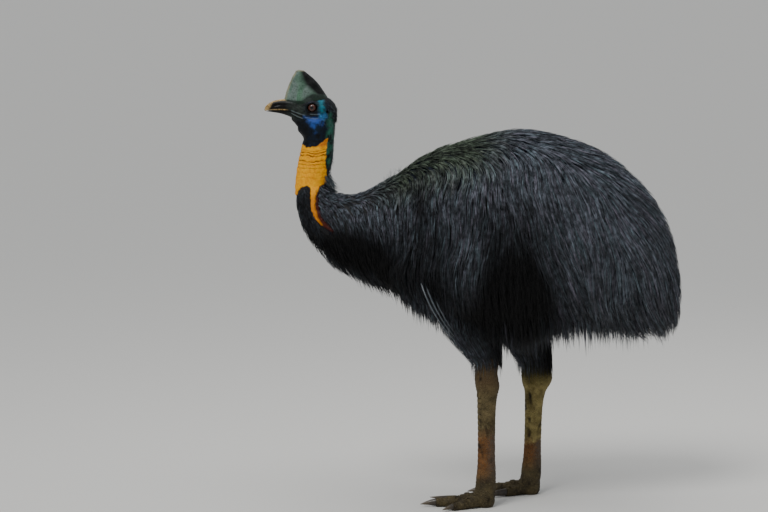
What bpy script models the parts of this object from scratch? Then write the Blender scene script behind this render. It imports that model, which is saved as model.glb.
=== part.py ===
"""A northern cassowary, life size, as a still museum model that stands on its own feet.

Metres, +Z up. The bird looks along -X, and its left side faces -Y. The stations below are in a
drawing frame with the ground at Z = 0; the last step centres the finished bird on the origin.
"""
import math
import random

import bmesh
import bpy
import numpy as np
from mathutils import Vector
from mathutils.bvhtree import BVHTree

# Clearance that parts which touch keep between their faces
GAP = 0.0003

# Head: station, top, bottom and half width, from the bill's root to the back of the skull
HEAD = [
    (-0.6000, 1.1760, 1.1165, 0.0175),
    (-0.5800, 1.1790, 1.1093, 0.0235),
    (-0.5600, 1.1818, 1.1035, 0.0290),
    (-0.5395, 1.1847, 1.0990, 0.0330),
    (-0.5190, 1.1847, 1.0962, 0.0340),
    (-0.4990, 1.1790, 1.0962, 0.0310),
    (-0.4830, 1.1660, 1.1000, 0.0235),
    (-0.4725, 1.1480, 1.1100, 0.0120),
]
# Bare neck: centre X, centre Z, half depth fore and aft, half width
THROAT = [
    (-0.5420, 1.1300, 0.0400, 0.0270),
    (-0.5320, 1.1080, 0.0540, 0.0350),
    (-0.5265, 1.0900, 0.0555, 0.0365),
    (-0.5230, 1.0700, 0.0500, 0.0365),
    (-0.5260, 1.0430, 0.0470, 0.0365),
    (-0.5330, 1.0050, 0.0480, 0.0375),
    (-0.5420, 0.9650, 0.0465, 0.0385),
    (-0.5465, 0.9280, 0.0465, 0.0400),
]
# The neck's form runs on to this row, past the cut at its foot
NECK_FOOT = (-0.5465, 0.9180, 0.0465, 0.0400)
HEAD_CUT_Z = 1.0700
NECK_CUT_Z = 0.9280
FOLDS = 7
FOLD_DEPTH = 0.0011

# Coat's outline from the foot of the bare neck to the fringe under the rump: for each section
# its upper end X, Z, its lower end X, Z, and its half width
COAT = [
    (-0.4995, 0.92785, -0.5935, 0.92785, 0.0410),
    (-0.4870, 0.9190, -0.5925, 0.8930, 0.0455),
    (-0.4700, 0.9080, -0.5870, 0.8450, 0.0530),
    (-0.4450, 0.9020, -0.5690, 0.7880, 0.0630),
    (-0.4180, 0.9020, -0.5300, 0.7310, 0.0760),
    (-0.3820, 0.9150, -0.4690, 0.6720, 0.0950),
    (-0.3370, 0.9400, -0.3780, 0.6300, 0.1210),
    (-0.2900, 0.9650, -0.3050, 0.6080, 0.1430),
    (-0.2465, 1.0000, -0.2465, 0.5620, 0.1600),
    (-0.1740, 1.0360, -0.1900, 0.5310, 0.1830),
    (-0.1000, 1.0590, -0.1200, 0.5080, 0.2000),
    (-0.0165, 1.0800, -0.0350, 0.4950, 0.2120),
    (0.0660, 1.0890, 0.0500, 0.4930, 0.2180),
    (0.1550, 1.0760, 0.1250, 0.4950, 0.2180),
    (0.2440, 1.0480, 0.1800, 0.4970, 0.2130),
    (0.3326, 1.0050, 0.2150, 0.4960, 0.2030),
    (0.4214, 0.9200, 0.2450, 0.4890, 0.1880),
    (0.4805, 0.8350, 0.2700, 0.4850, 0.1710),
    (0.5130, 0.7350, 0.2950, 0.4810, 0.1520),
    (0.5280, 0.6400, 0.3200, 0.4780, 0.1300),
    (0.5270, 0.5500, 0.3400, 0.4750, 0.1080),
    (0.5100, 0.4850, 0.3600, 0.4720, 0.0840),
]
COAT_END = (0.4350, 0.4740)
# The same for the flesh under the coat, section for section
FLESH = [
    (-0.5030, 0.92785, -0.5900, 0.92785, 0.0375),
    (-0.4900, 0.9130, -0.5860, 0.8900, 0.0400),
    (-0.4780, 0.8960, -0.5760, 0.8400, 0.0450),
    (-0.4560, 0.8870, -0.5540, 0.7900, 0.0530),
    (-0.4300, 0.8870, -0.5140, 0.7450, 0.0630),
    (-0.3900, 0.8980, -0.4560, 0.6980, 0.0770),
    (-0.3400, 0.9230, -0.3700, 0.6560, 0.0980),
    (-0.2930, 0.9500, -0.3000, 0.6330, 0.1150),
    (-0.2465, 0.9850, -0.2465, 0.5960, 0.1310),
    (-0.1740, 1.0210, -0.1820, 0.5640, 0.1540),
    (-0.1000, 1.0440, -0.1100, 0.5450, 0.1690),
    (-0.0165, 1.0650, -0.0250, 0.5370, 0.1800),
    (0.0660, 1.0740, 0.0600, 0.5400, 0.1860),
    (0.1550, 1.0590, 0.1350, 0.5560, 0.1840),
    (0.2350, 1.0280, 0.1950, 0.5780, 0.1740),
    (0.3050, 0.9800, 0.2450, 0.6050, 0.1560),
    (0.3600, 0.9200, 0.2850, 0.6250, 0.1340),
    (0.4000, 0.8650, 0.3200, 0.6450, 0.1120),
    (0.4280, 0.8100, 0.3500, 0.6600, 0.0880),
    (0.4450, 0.7650, 0.3750, 0.6700, 0.0660),
    (0.4520, 0.7300, 0.4000, 0.6780, 0.0450),
    (0.4530, 0.7050, 0.4200, 0.6830, 0.0260),
]
FLESH_END = (0.4400, 0.6900)
TRUNK_SIDES = 16
TRUNK_RINGS = 23
# How square the coat hangs below its widest line, by station: round at the neck, a skirt behind
SKIRT = [(0.0, 2.0), (0.28, 2.2), (0.50, 3.6), (1.0, 3.0)]
# The body under the locks reaches this share of the way from the flesh to the coat's outer face
BODY_SHARE = 0.45

# Locks by region of the coat: first and last station along the trunk (0 neck, 1 rump's end),
# rows along it, locks round each row, length, width and ridge height
LOCK_ROWS = [
    (0.06, 0.25, 3, 6, 0.115, 0.056, 0.0060),
    (0.33, 0.43, 2, 9, 0.190, 0.082, 0.0090),
    (0.51, 0.79, 4, 12, 0.280, 0.102, 0.0110),
    (0.86, 0.93, 2, 8, 0.250, 0.090, 0.0110),
]
# Locks round each drumstick: how many, height of their roots, length, width and ridge height
LEG_LOCKS = (8, 0.4900, 0.0900, 0.0380, 0.0040)
# Share of each lock's length at its rings, and its width there as a share of the widest
LOCK_RINGS = [(0.0, 0.60), (0.30, 0.95), (0.62, 0.90), (0.86, 0.50)]
ROOT_DEPTH = 0.0070
# The underside carries no locks from this station back
BELLY_FROM = 0.40
# How far the lie leans backwards for each metre it falls, at stations along the body
LEAN = [(-0.55, 0.9), (-0.35, 0.55), (-0.15, 0.10), (0.05, 0.25), (0.25, 0.45), (0.50, 0.50)]
SEED = 41
# The exact solver leaves open edges among this many crossing locks
LOCK_SOLVER = "MANIFOLD"

# Thin cuts through the trunk: a point on each plane and the way it faces
NECK_BEND_CUT = ((-0.4740, 0.0, 0.8165), (0.836, 0.0, -0.548))
SHOULDER_CUT = ((-0.2465, 0.0, 0.79), (1.0, 0.0, 0.0))
RUMP_CUT = ((0.2500, 0.0, 0.80), (0.935, 0.0, 0.355))

# Legs: the left one, near the camera, stands 0.14 m ahead of the right
SIDES = ("left", "right")
OUTWARD = {"left": -1.0, "right": 1.0}
LEG_Y = {"left": -0.095, "right": 0.095}
ANKLE_X = {"left": -0.0400, "right": 0.1100}
HEEL_X = {"left": -0.0400, "right": 0.1015}
# The right ankle is lower and looks stouter, as its leg is bent a little more
ANKLE_DROP = {"left": 0.0, "right": 0.0220}
ANKLE_SWELL = {"left": 1.0, "right": 1.12}
# Drumstick: X from the ankle, Z, half depth, half width, coat's depth
DRUMSTICK = [
    (0.0010, 0.4200, 0.0370, 0.0320, 0.0080),
    (-0.0210, 0.4700, 0.0530, 0.0380, 0.0130),
    (-0.0420, 0.5100, 0.0640, 0.0430, 0.0150),
    (-0.0500, 0.5500, 0.0690, 0.0470, 0.0150),
    (-0.0600, 0.5950, 0.0740, 0.0500, 0.0150),
]
THIGH_CUT_Z = 0.5500
SHANK_CUT_Z = 0.4300
# Shank: Z, X behind its axis, half depth, half width
SHANK = [
    (0.4300, 0.0010, 0.0350, 0.0290),
    (0.4000, 0.0000, 0.0345, 0.0290),
    (0.3760, 0.0020, 0.0375, 0.0300),
    (0.3520, 0.0040, 0.0365, 0.0290),
    (0.3250, 0.0020, 0.0290, 0.0230),
    (0.2900, 0.0000, 0.0262, 0.0195),
    (0.2300, 0.0000, 0.0245, 0.0185),
    (0.1500, 0.0000, 0.0245, 0.0190),
    (0.1050, 0.0000, 0.0265, 0.0215),
    (0.0700, -0.0020, 0.0290, 0.0260),
]
FOOT_CUT_Z = 0.0700
# The hub that carries the toes: Z, X behind the heel, half depth, half width
FOOT = [
    (0.0740, -0.0020, 0.0290, 0.0260),
    (0.0560, -0.0030, 0.0295, 0.0275),
    (0.0400, -0.0060, 0.0300, 0.0300),
    (0.0250, -0.0070, 0.0310, 0.0310),
    (0.0100, -0.0060, 0.0290, 0.0290),
    (-0.0030, -0.0050, 0.0210, 0.0210),
]
# Scutes down the front of the shank: how many, how far each stands proud, and its lip's height
SCUTES = 13
SCUTE_STEP = 0.0013
SCUTE_LIP = 0.0016

# Toes: heading from straight ahead, positive inwards, then length, root and tip half heights
TOES = {
    "inner": (30.0, 0.072, 0.0175, 0.0125),
    "middle": (0.0, 0.128, 0.0195, 0.0130),
    "outer": (-32.0, 0.098, 0.0165, 0.0110),
}
# Claws: length past the toe, root half height, fall towards the tip
CLAWS = {
    "inner": (0.098, 0.0105, 0.0040),
    "middle": (0.046, 0.0110, 0.0070),
    "outer": (0.036, 0.0090, 0.0060),
}
# A toe's form starts this far ahead of its root, and runs past its length into the claw's root
TOE_START = 0.0120
TOE_REACH = 0.0180
# Where toe and claw part, past the toe's length, and where the claw's form starts
CLAW_CUT = 0.0140
CLAW_START = 0.0060
# How far a claw's middle stands over its toe's, the radius of its blunt end, and its rings' places
CLAW_RISE = 0.0015
CLAW_BLUNT = 0.0006
CLAW_RINGS = (0.0, 0.22, 0.45, 0.68, 0.88)
# Height of a toe's middle as a share of its half height, so that its pads rest flat
TOE_REST = 0.93
# Clearance between a toe and its neighbours, more than the usual where corners are sharp
TOE_GAP = 0.0006

# Bill: station, top, bottom and half width of each half
BILL_UPPER = [
    (-0.6000, 1.1755, 1.1408, 0.0170),
    (-0.6150, 1.1745, 1.1425, 0.0140),
    (-0.6340, 1.1735, 1.1433, 0.0110),
    (-0.6550, 1.1690, 1.1433, 0.0080),
    (-0.6700, 1.1610, 1.1425, 0.0052),
    (-0.6790, 1.1520, 1.1405, 0.0026),
]
BILL_UPPER_TIP = (-0.6815, 0.0, 1.1435)
BILL_LOWER = [
    (-0.6000, 1.1400, 1.1170, 0.0158),
    (-0.6150, 1.1417, 1.1215, 0.0130),
    (-0.6340, 1.1425, 1.1270, 0.0100),
    (-0.6550, 1.1425, 1.1330, 0.0070),
    (-0.6680, 1.1417, 1.1370, 0.0044),
]
BILL_LOWER_TIP = (-0.6760, 0.0, 1.1392)
# Nostril: place, half axes and slope
NOSTRIL = (-0.6480, 0.0086, 1.1570)
NOSTRIL_SIZE = (0.0085, 0.0030, 0.0024)
NOSTRIL_SLOPE = 14.0
# The line of the mouth behind the bill, X and Z, and the radius of its groove
GAPE = [(-0.5985, 1.1402), (-0.5800, 1.1365), (-0.5620, 1.1310), (-0.5480, 1.1265)]
GAPE_RADIUS = 0.0011

# Casque: height, front, back, half width of the front ridge, widest half width
CASQUE = [
    (1.1560, -0.6150, -0.5050, 0.0100, 0.0250),
    (1.1700, -0.6215, -0.5030, 0.0085, 0.0250),
    (1.1840, -0.6200, -0.5060, 0.0065, 0.0235),
    (1.2000, -0.6160, -0.5150, 0.0050, 0.0205),
    (1.2190, -0.6095, -0.5290, 0.0040, 0.0165),
    (1.2350, -0.6010, -0.5430, 0.0035, 0.0125),
    (1.2480, -0.5950, -0.5560, 0.0030, 0.0085),
    (1.2560, -0.5905, -0.5670, 0.0022, 0.0050),
]
CASQUE_PEAK = (-0.5820, 0.0, 1.2590)
CASQUE_WIDEST = 0.68

EYE_AT = (-0.5458, 0.0215, 1.1499)
EYE_RADIUS = 0.0135
# Lids: radius and thickness of their rim, and how far it stands outside the eye's centre
LID_RADIUS = 0.0108
LID_THICK = 0.0030
LID_OUT = 0.0085
# Ear: place and half axes of its cup
EAR_AT = (-0.4990, 0.0335, 1.1380)
EAR_SIZE = (0.0048, 0.0055, 0.0062)

# Wing: the stub's stations X, outward Y, Z, half depth, half thickness
WING_STUB = [
    (-0.2080, 0.1560, 0.8000, 0.0150, 0.0110),
    (-0.2150, 0.1580, 0.7700, 0.0190, 0.0125),
    (-0.2250, 0.1565, 0.7300, 0.0200, 0.0125),
    (-0.2330, 0.1510, 0.6950, 0.0170, 0.0110),
    (-0.2350, 0.1470, 0.6700, 0.0120, 0.0085),
]
# The five bare quills, each through its root, middle and tip
QUILL_ROOT = (-0.2370, 0.1490, 0.6780)
QUILL_MIDDLE = (-0.2060, 0.1860, 0.5650)
QUILL_TIP = (-0.1360, 0.1900, 0.4700)
QUILLS = 5
QUILL_RADIUS = 0.0034
# How far each quill's root, middle and tip stand from the one before
QUILL_STEPS = ((0.0065, -0.0010, 0.0000), (0.0085, -0.0020, 0.0030), (0.0120, -0.0035, 0.0060))

COLOURS = {
    "plumage": ((0.012, 0.013, 0.016), 0.55),
    "head skin": ((0.010, 0.060, 0.110), 0.50),
    "golden skin": ((0.850, 0.420, 0.010), 0.50),
    "casque horn": ((0.110, 0.150, 0.130), 0.35),
    "bill horn": ((0.060, 0.060, 0.055), 0.35),
    "leg scales": ((0.180, 0.140, 0.085), 0.60),
    "claw horn": ((0.050, 0.045, 0.040), 0.35),
    "iris": ((0.120, 0.040, 0.020), 0.10),
    "quill": ((0.100, 0.105, 0.115), 0.30),
}


def clear_scene():
    for obj in list(bpy.data.objects):
        bpy.data.objects.remove(obj, do_unlink=True)


def new_collection(name):
    made = bpy.data.collections.new(name)
    bpy.context.scene.collection.children.link(made)
    return made


def make_materials():
    """One Principled material for each finish."""
    made = {}
    for name, (colour, roughness) in COLOURS.items():
        material = bpy.data.materials.new(name)
        material.use_nodes = True
        shader = material.node_tree.nodes["Principled BSDF"]
        shader.inputs["Base Color"].default_value = (*colour, 1.0)
        shader.inputs["Roughness"].default_value = roughness
        made[name] = material
    return made


def rows_at(rows, places):
    """Catmull-Rom rows of a table of stations, at places from 0 (first row) to 1 (last row)."""
    table = np.array(rows, float)
    slope = np.gradient(table, axis=0)
    index = np.clip(places, 0, 1) * (len(table) - 1)
    low = np.minimum(index.astype(int), len(table) - 2)
    t = (index - low)[:, None]
    a, b = table[low], table[low + 1]
    da, db = slope[low], slope[low + 1]
    return (
        a * (2 * t**3 - 3 * t**2 + 1)
        + b * (3 * t**2 - 2 * t**3)
        + da * (t**3 - 2 * t**2 + t)
        + db * (t**3 - t**2)
    )


def smooth_rows(rows, count):
    """`count` rows spread evenly over a table of stations."""
    return rows_at(rows, np.linspace(0, 1, count))


def object_of(name, mesh):
    made = bpy.data.objects.new(name, mesh)
    PARTS.objects.link(made)
    return made


def loft(name, rings, first_pole=None, last_pole=None):
    """A closed skin through rings of points, its ends closed by a pole or by a flat cap."""
    bm = bmesh.new()
    rows = [[bm.verts.new(point) for point in ring] for ring in rings]
    sides = len(rows[0])
    for row, following in zip(rows, rows[1:]):
        for i in range(sides):
            j = (i + 1) % sides
            bm.faces.new((row[i], row[j], following[j], following[i]))
    for row, pole in ((rows[0], first_pole), (rows[-1], last_pole)):
        if pole is None:
            bm.faces.new(row)
            continue
        tip = bm.verts.new(pole)
        for i in range(sides):
            bm.faces.new((row[i], row[(i + 1) % sides], tip))
    bmesh.ops.recalc_face_normals(bm, faces=bm.faces)
    mesh = bpy.data.meshes.new(name)
    bm.to_mesh(mesh)
    bm.free()
    return object_of(name, mesh)


def ellipse(centre, across, along, sides):
    """A ring of points: across and along are its half axes as vectors."""
    turn = np.linspace(0, 2 * math.pi, sides, endpoint=False)
    return centre + np.outer(np.cos(turn), across) + np.outer(np.sin(turn), along)


def tube_rings(path, half_along, half_side, sides):
    """Elliptic rings square to a path in a vertical plane: half_side runs along Y."""
    path = np.array(path, float)
    heading = np.gradient(path, axis=0)
    heading /= np.linalg.norm(heading, axis=1)[:, None]
    side = np.array((0.0, 1.0, 0.0))
    rings = []
    for point, ahead, along, across in zip(path, heading, half_along, half_side):
        normal = np.cross(ahead, side)
        rings.append(ellipse(point, side * across, normal * along, sides))
    return rings


def bake(obj):
    """Turns an object and its modifiers into a plain mesh with no transform."""
    graph = bpy.context.evaluated_depsgraph_get()
    mesh = bpy.data.meshes.new_from_object(obj.evaluated_get(graph))
    mesh.transform(obj.matrix_world)
    name, old = obj.name, obj.data
    bpy.data.objects.remove(obj, do_unlink=True)
    if old.users == 0 and isinstance(old, bpy.types.Mesh):
        bpy.data.meshes.remove(old)
    mesh.name = name
    return object_of(name, mesh)


def keep_largest(obj):
    """Drops all but the largest closed surface of an object, once it is all triangles."""
    bm = bmesh.new()
    bm.from_mesh(obj.data)
    bmesh.ops.triangulate(bm, faces=bm.faces)
    left, pieces = set(bm.faces), []
    while left:
        piece, edge_of_search = set(), [left.pop()]
        while edge_of_search:
            face = edge_of_search.pop()
            piece.add(face)
            for edge in face.edges:
                if len(edge.link_faces) > 2:
                    continue
                for near in edge.link_faces:
                    if near in left:
                        left.discard(near)
                        edge_of_search.append(near)
        pieces.append(piece)
    largest = max(pieces, key=lambda p: sum(face.calc_area() for face in p))
    dropped = [face for piece in pieces if piece is not largest for face in piece]
    bmesh.ops.delete(bm, geom=dropped, context="FACES")
    bm.to_mesh(obj.data)
    bm.free()


def boolean(obj, others, operation, solver="EXACT"):
    """Applies one Boolean of several closed meshes to obj, and removes those meshes."""
    tools = bpy.data.collections.new(obj.name + " tools")
    bpy.context.scene.collection.children.link(tools)
    for other in others:
        for owner in list(other.users_collection):
            owner.objects.unlink(other)
        tools.objects.link(other)
    modifier = obj.modifiers.new(operation.title(), "BOOLEAN")
    modifier.operation = operation
    modifier.operand_type = "COLLECTION"
    modifier.collection = tools
    modifier.solver = solver
    made = bake(obj)
    for other in others:
        bpy.data.objects.remove(other, do_unlink=True)
    bpy.data.collections.remove(tools)
    keep_largest(made)
    return made


def cut(obj, point, normal, side=1.0):
    """Keeps what lies behind a plane, half a gap short of it, and closes the cut.

    With side -1 it keeps what lies ahead of the plane instead.
    """
    facing = Vector(normal).normalized() * side
    bm = bmesh.new()
    bm.from_mesh(obj.data)
    bmesh.ops.bisect_plane(
        bm,
        geom=bm.verts[:] + bm.edges[:] + bm.faces[:],
        plane_co=Vector(point) - facing * GAP / 2,
        plane_no=facing,
        clear_outer=True,
    )
    edges = [edge for edge in bm.edges if edge.is_boundary]
    bmesh.ops.holes_fill(bm, edges=edges, sides=0)
    bmesh.ops.recalc_face_normals(bm, faces=bm.faces)
    bm.to_mesh(obj.data)
    bm.free()
    return obj


def swollen(obj, by):
    """A copy of a mesh object, moved out along its normals."""
    mesh = obj.data.copy()
    for vertex, normal in zip(mesh.vertices, [n.vector.copy() for n in mesh.vertex_normals]):
        vertex.co += normal * by
    return object_of(obj.name + " cutter", mesh)


def ball(name, centre, size, segments=20, rings=12):
    """A closed ball or egg from its centre and three half axes."""
    bm = bmesh.new()
    bmesh.ops.create_uvsphere(bm, u_segments=segments, v_segments=rings, radius=1.0)
    bmesh.ops.scale(bm, vec=size, verts=bm.verts)
    bmesh.ops.translate(bm, vec=centre, verts=bm.verts)
    mesh = bpy.data.meshes.new(name)
    bm.to_mesh(mesh)
    bm.free()
    return object_of(name, mesh)


def tapered_rod(name, points, radii, resolution=1, sides_bevel=1):
    """A round rod through points, with a radius at each, made from a curve."""
    curve = bpy.data.curves.new(name, "CURVE")
    curve.dimensions = "3D"
    curve.bevel_depth = 1.0
    curve.bevel_resolution = sides_bevel
    curve.use_fill_caps = True
    curve.resolution_u = resolution
    spline = curve.splines.new("POLY")
    spline.points.add(len(points) - 1)
    for point, place, radius in zip(spline.points, points, radii):
        point.co = (*place, 1.0)
        point.radius = radius
    made = bake(object_of(name, curve))
    bm = bmesh.new()
    bm.from_mesh(made.data)
    bmesh.ops.remove_doubles(bm, verts=bm.verts, dist=1e-5)
    bmesh.ops.recalc_face_normals(bm, faces=bm.faces)
    bm.to_mesh(made.data)
    bm.free()
    return made


def section_points(rows, place, turns):
    """Points at an angle round each trunk section: 0 is the right flank, a quarter turn the top."""
    rise, out = np.sin(turns), np.cos(turns)
    square = np.interp(place, *np.array(SKIRT).T)
    fuller = np.sign(out) * (1 - np.abs(rise) ** square) ** (1 / square)
    out = np.where(rise < 0, fuller, out)
    top = np.column_stack((rows[:, 0], np.zeros(len(rows)), rows[:, 1]))
    low = np.column_stack((rows[:, 2], np.zeros(len(rows)), rows[:, 3]))
    points = (top + low) / 2 + (top - low) / 2 * rise[:, None]
    points[:, 1] = out * rows[:, 4]
    return points


def coat_point(along, turn, share):
    """A place over the trunk, from its flesh (share 0) to its coat's outer face (share 1)."""
    place, angle = np.array([along]), np.array([turn])
    flesh = section_points(rows_at(FLESH, place), along, angle)[0]
    outer = section_points(rows_at(COAT, place), along, angle)[0]
    return flesh + (outer - flesh) * share


def trunk(name, share):
    """The whole trunk as one closed form at a share of the way from the flesh to the coat's face."""
    turns = np.linspace(0, 2 * math.pi, TRUNK_SIDES, endpoint=False)
    rings = []
    for place in np.linspace(0, 1, TRUNK_RINGS):
        flesh = np.repeat(rows_at(FLESH, np.array([place])), TRUNK_SIDES, axis=0)
        outer = np.repeat(rows_at(COAT, np.array([place])), TRUNK_SIDES, axis=0)
        inside = section_points(flesh, place, turns)
        outside = section_points(outer, place, turns)
        rings.append(inside + (outside - inside) * share)
    end_x, end_z = np.array(FLESH_END) + (np.array(COAT_END) - np.array(FLESH_END)) * share
    return loft(name, rings, last_pole=(end_x, 0.0, end_z))


def coat_frame(along, turn, share):
    """At a place over the trunk: its point, its slopes along and round, and its normal."""
    point = coat_point(along, turn, share)
    slopes = np.column_stack(
        (
            (coat_point(along + 1e-3, turn, share) - coat_point(along - 1e-3, turn, share)) / 2e-3,
            (coat_point(along, turn + 1e-3, share) - coat_point(along, turn - 1e-3, share)) / 2e-3,
        )
    )
    normal = np.cross(slopes[:, 1], slopes[:, 0])
    normal /= np.linalg.norm(normal)
    outward = point - coat_point(along, turn, share - 0.5)
    return point, slopes, normal * np.sign(normal @ outward)


def lie(point, normal):
    """Unit direction in which the coat lies at a place on the body: down, leaning back."""
    lean = np.interp(point[0], *np.array(LEAN).T)
    flow = np.array((lean, 0.0, -1.0))
    flow -= normal * (flow @ normal)
    return flow / np.linalg.norm(flow)


def lie_path(along, turn, length, turning, steps=12):
    """The course of a lock over the trunk, as (part of its length, share, place, angle)."""
    path = []
    for i in range(steps + 1):
        part = i / steps
        share = BODY_SHARE + (1 - BODY_SHARE) * part**1.2
        path.append((part, share, along, turn))
        point, slopes, normal = coat_frame(along, turn, share)
        heading = lie(point, normal)
        heading = heading + np.cross(normal, heading) * turning
        move = np.linalg.lstsq(slopes, heading * length / steps, rcond=None)[0]
        if not 0.004 < along + move[0] < 0.996:
            break
        along, turn = along + move[0], turn + move[1]
    return path


def trunk_lock(name, along, turn, length, width, ridge, turning):
    """A flat, tapering lock: rooted in the body, laid along the coat's lie, its tip at its face."""
    path = lie_path(along, turn, length, turning)
    reach = path[-1][0]
    rings = []
    for part, breadth in LOCK_RINGS:
        _, share, at, angle = min(path, key=lambda row: abs(row[0] - part * reach))
        point, slopes, normal = coat_frame(at, angle, share)
        across = np.cross(normal, lie(point, normal))
        depth = np.linalg.norm(coat_point(at, angle, 1.0) - coat_point(at, angle, BODY_SHARE))
        high = min(ridge, 0.6 * depth + 0.004) * (0.4 if part > 0.8 else 1.0)
        ring = [point + normal * (-ROOT_DEPTH * 0.5 if part == 0 else high * 0.75)]
        for sign in (-1, 1):
            move = np.linalg.lstsq(slopes, across * sign * width * breadth / 2, rcond=None)[0]
            edge = coat_point(min(max(at + move[0], 0.003), 0.997), angle + move[1], share)
            ring.append(edge - normal * (ROOT_DEPTH if part == 0 else high * 0.25))
        rings.append([ring[1], ring[0], ring[2]])
    _, share, at, angle = path[-1]
    return loft(name, rings, last_pole=coat_point(at, angle, share))


def trunk_locks():
    """All the locks of neck, torso and rump, in rows from the neck back, the same left and right."""
    draw = random.Random(SEED)
    made = []
    for first, last, rows, across, length, width, ridge in LOCK_ROWS:
        for row in range(rows):
            along = first + (last - first) * (row / max(rows - 1, 1))
            for i in range(across):
                offset = 0.5 if row % 2 else 0.0
                turn = math.pi / 2 + 2 * math.pi * (i + offset) / across
                place = along + draw.uniform(-0.010, 0.010)
                size = draw.uniform(0.88, 1.12)
                if along > BELLY_FROM and math.sin(turn) < -0.80:
                    continue
                turning = draw.uniform(-0.12, 0.12)
                name = f"lock {len(made)}"
                made.append(
                    trunk_lock(name, place, turn, length * size, width * size, ridge, turning)
                )
    return made


def half_space(name, point, normal):
    """A block that fills everything ahead of a plane, half a gap short of it."""
    facing = Vector(normal).normalized()
    size = 4.0
    bm = bmesh.new()
    bmesh.ops.create_cube(bm, size=size)
    turn = facing.to_track_quat("Z", "Y").to_matrix()
    centre = Vector(point) + facing * (size / 2 - GAP / 2)
    for vertex in bm.verts:
        vertex.co = turn @ vertex.co + centre
    mesh = bpy.data.meshes.new(name)
    bm.to_mesh(mesh)
    bm.free()
    return object_of(name, mesh)


def make_trunk_nodes():
    """Two lengths of lower neck, torso and rump: one coated form parted by thin cuts."""
    body = boolean(trunk("trunk", BODY_SHARE), trunk_locks(), "UNION", LOCK_SOLVER)
    cuts = [None, NECK_BEND_CUT, SHOULDER_CUT, RUMP_CUT, None]
    nodes = []
    for i, name in enumerate(("neck_lower", "neck_base", "torso", "rump")):
        piece = object_of(name, body.data.copy())
        blocks = []
        if cuts[i + 1]:
            blocks.append(half_space("after " + name, *cuts[i + 1]))
        if cuts[i]:
            point, normal = cuts[i]
            blocks.append(half_space("before " + name, point, [-n for n in normal]))
        nodes.append(boolean(piece, blocks, "DIFFERENCE", LOCK_SOLVER))
    bpy.data.objects.remove(body, do_unlink=True)
    return nodes


def leg_height(side, z):
    """A height on a leg, lowered in proportion where its ankle is lower."""
    share = (z - FOOT_CUT_Z) / (SHANK_CUT_Z - FOOT_CUT_Z)
    return z - ANKLE_DROP[side] * min(share, 1.0)


def drumstick_section(side, z_of_near, share, extra=0.0):
    """Centre and half axes of a drumstick's section, at a share of its coat's depth."""
    heights = [row[1] for row in DRUMSTICK]
    place = np.interp(z_of_near, heights, np.linspace(0, 1, len(heights)))
    ahead, z, deep, wide, coat = rows_at(DRUMSTICK, np.array([place]))[0]
    z = min(z_of_near, z)
    drop = ANKLE_DROP[side] * (THIGH_CUT_Z - z) / (THIGH_CUT_Z - SHANK_CUT_Z)
    stout = ANKLE_SWELL[side] + (1.0 - ANKLE_SWELL[side]) * (z - SHANK_CUT_Z) / 0.12
    centre = np.array((ANKLE_X[side] + ahead, LEG_Y[side], z - drop))
    swell = coat * share + extra
    return centre, deep * stout + swell, wide * stout + swell


def drumstick_rings(side, share, extra=0.0, count=6, sides=14):
    """Rings of one drumstick, at a share of its coat's depth."""
    rings = []
    for z in np.linspace(DRUMSTICK[0][1], DRUMSTICK[-1][1], count):
        centre, deep, wide = drumstick_section(side, z, share, extra)
        rings.append(ellipse(centre, np.array((0.0, wide, 0.0)), np.array((deep, 0.0, 0.0)), sides))
    return rings


def leg_lock(name, side, angle, top, length, width, ridge):
    """A short lock that hangs down a drumstick and over the shank's top, clear of the shank."""
    rings = []
    for part, breadth in LOCK_RINGS + [(1.0, 0.0)]:
        share = 0.5 + 0.5 * part**0.7
        centre, deep, wide = drumstick_section(side, top - length * part, share)
        radius = (deep + wide) / 2
        points = []
        for sign, rise in ((-1, 0.0), (0, ridge), (1, 0.0)):
            turn = angle + sign * width * breadth / 2 / radius
            sink = ROOT_DEPTH * 0.6 if part == 0 else 0.0
            out = (math.sin(turn) * (deep + rise - sink), math.cos(turn) * (wide + rise - sink))
            points.append(centre + np.array((out[0], out[1], 0.0)))
        rings.append(points)
    return loft(name, rings[:-1], last_pole=rings[-1][1])


def make_drumstick(side):
    """The feathered part of a leg below the body, with flat faces where it meets its neighbours."""
    made = loft("drumstick_" + side, drumstick_rings(side, 0.5))
    cut(made, (0, 0, THIGH_CUT_Z), (0, 0, 1))
    cut(made, (0, 0, leg_height(side, SHANK_CUT_Z)), (0, 0, 1), side=-1.0)
    count, top, length, width, ridge = LEG_LOCKS
    draw = random.Random(f"{SEED} {side}")
    locks = []
    for i in range(count):
        angle = 2 * math.pi * (i + draw.uniform(-0.1, 0.1)) / count
        high = top + (0.012 if i % 2 else -0.004)
        size = draw.uniform(0.9, 1.1)
        name = f"leg lock {i} {side}"
        locks.append(leg_lock(name, side, angle, high, length * size, width * size, ridge))
    return boolean(made, locks, "UNION", LOCK_SOLVER)


def drumstick_sleeve(side):
    """What a drumstick takes out of the trunk: its own form a gap larger, up to the cut."""
    rings = drumstick_rings(side, 1.0, LEG_LOCKS[-1] + GAP)
    lowest = rings[0] - np.array((0.0, 0.0, 0.06))
    sleeve = loft("sleeve " + side, [lowest] + rings)
    return cut(sleeve, (0, 0, THIGH_CUT_Z + GAP), (0, 0, 1))


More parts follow.
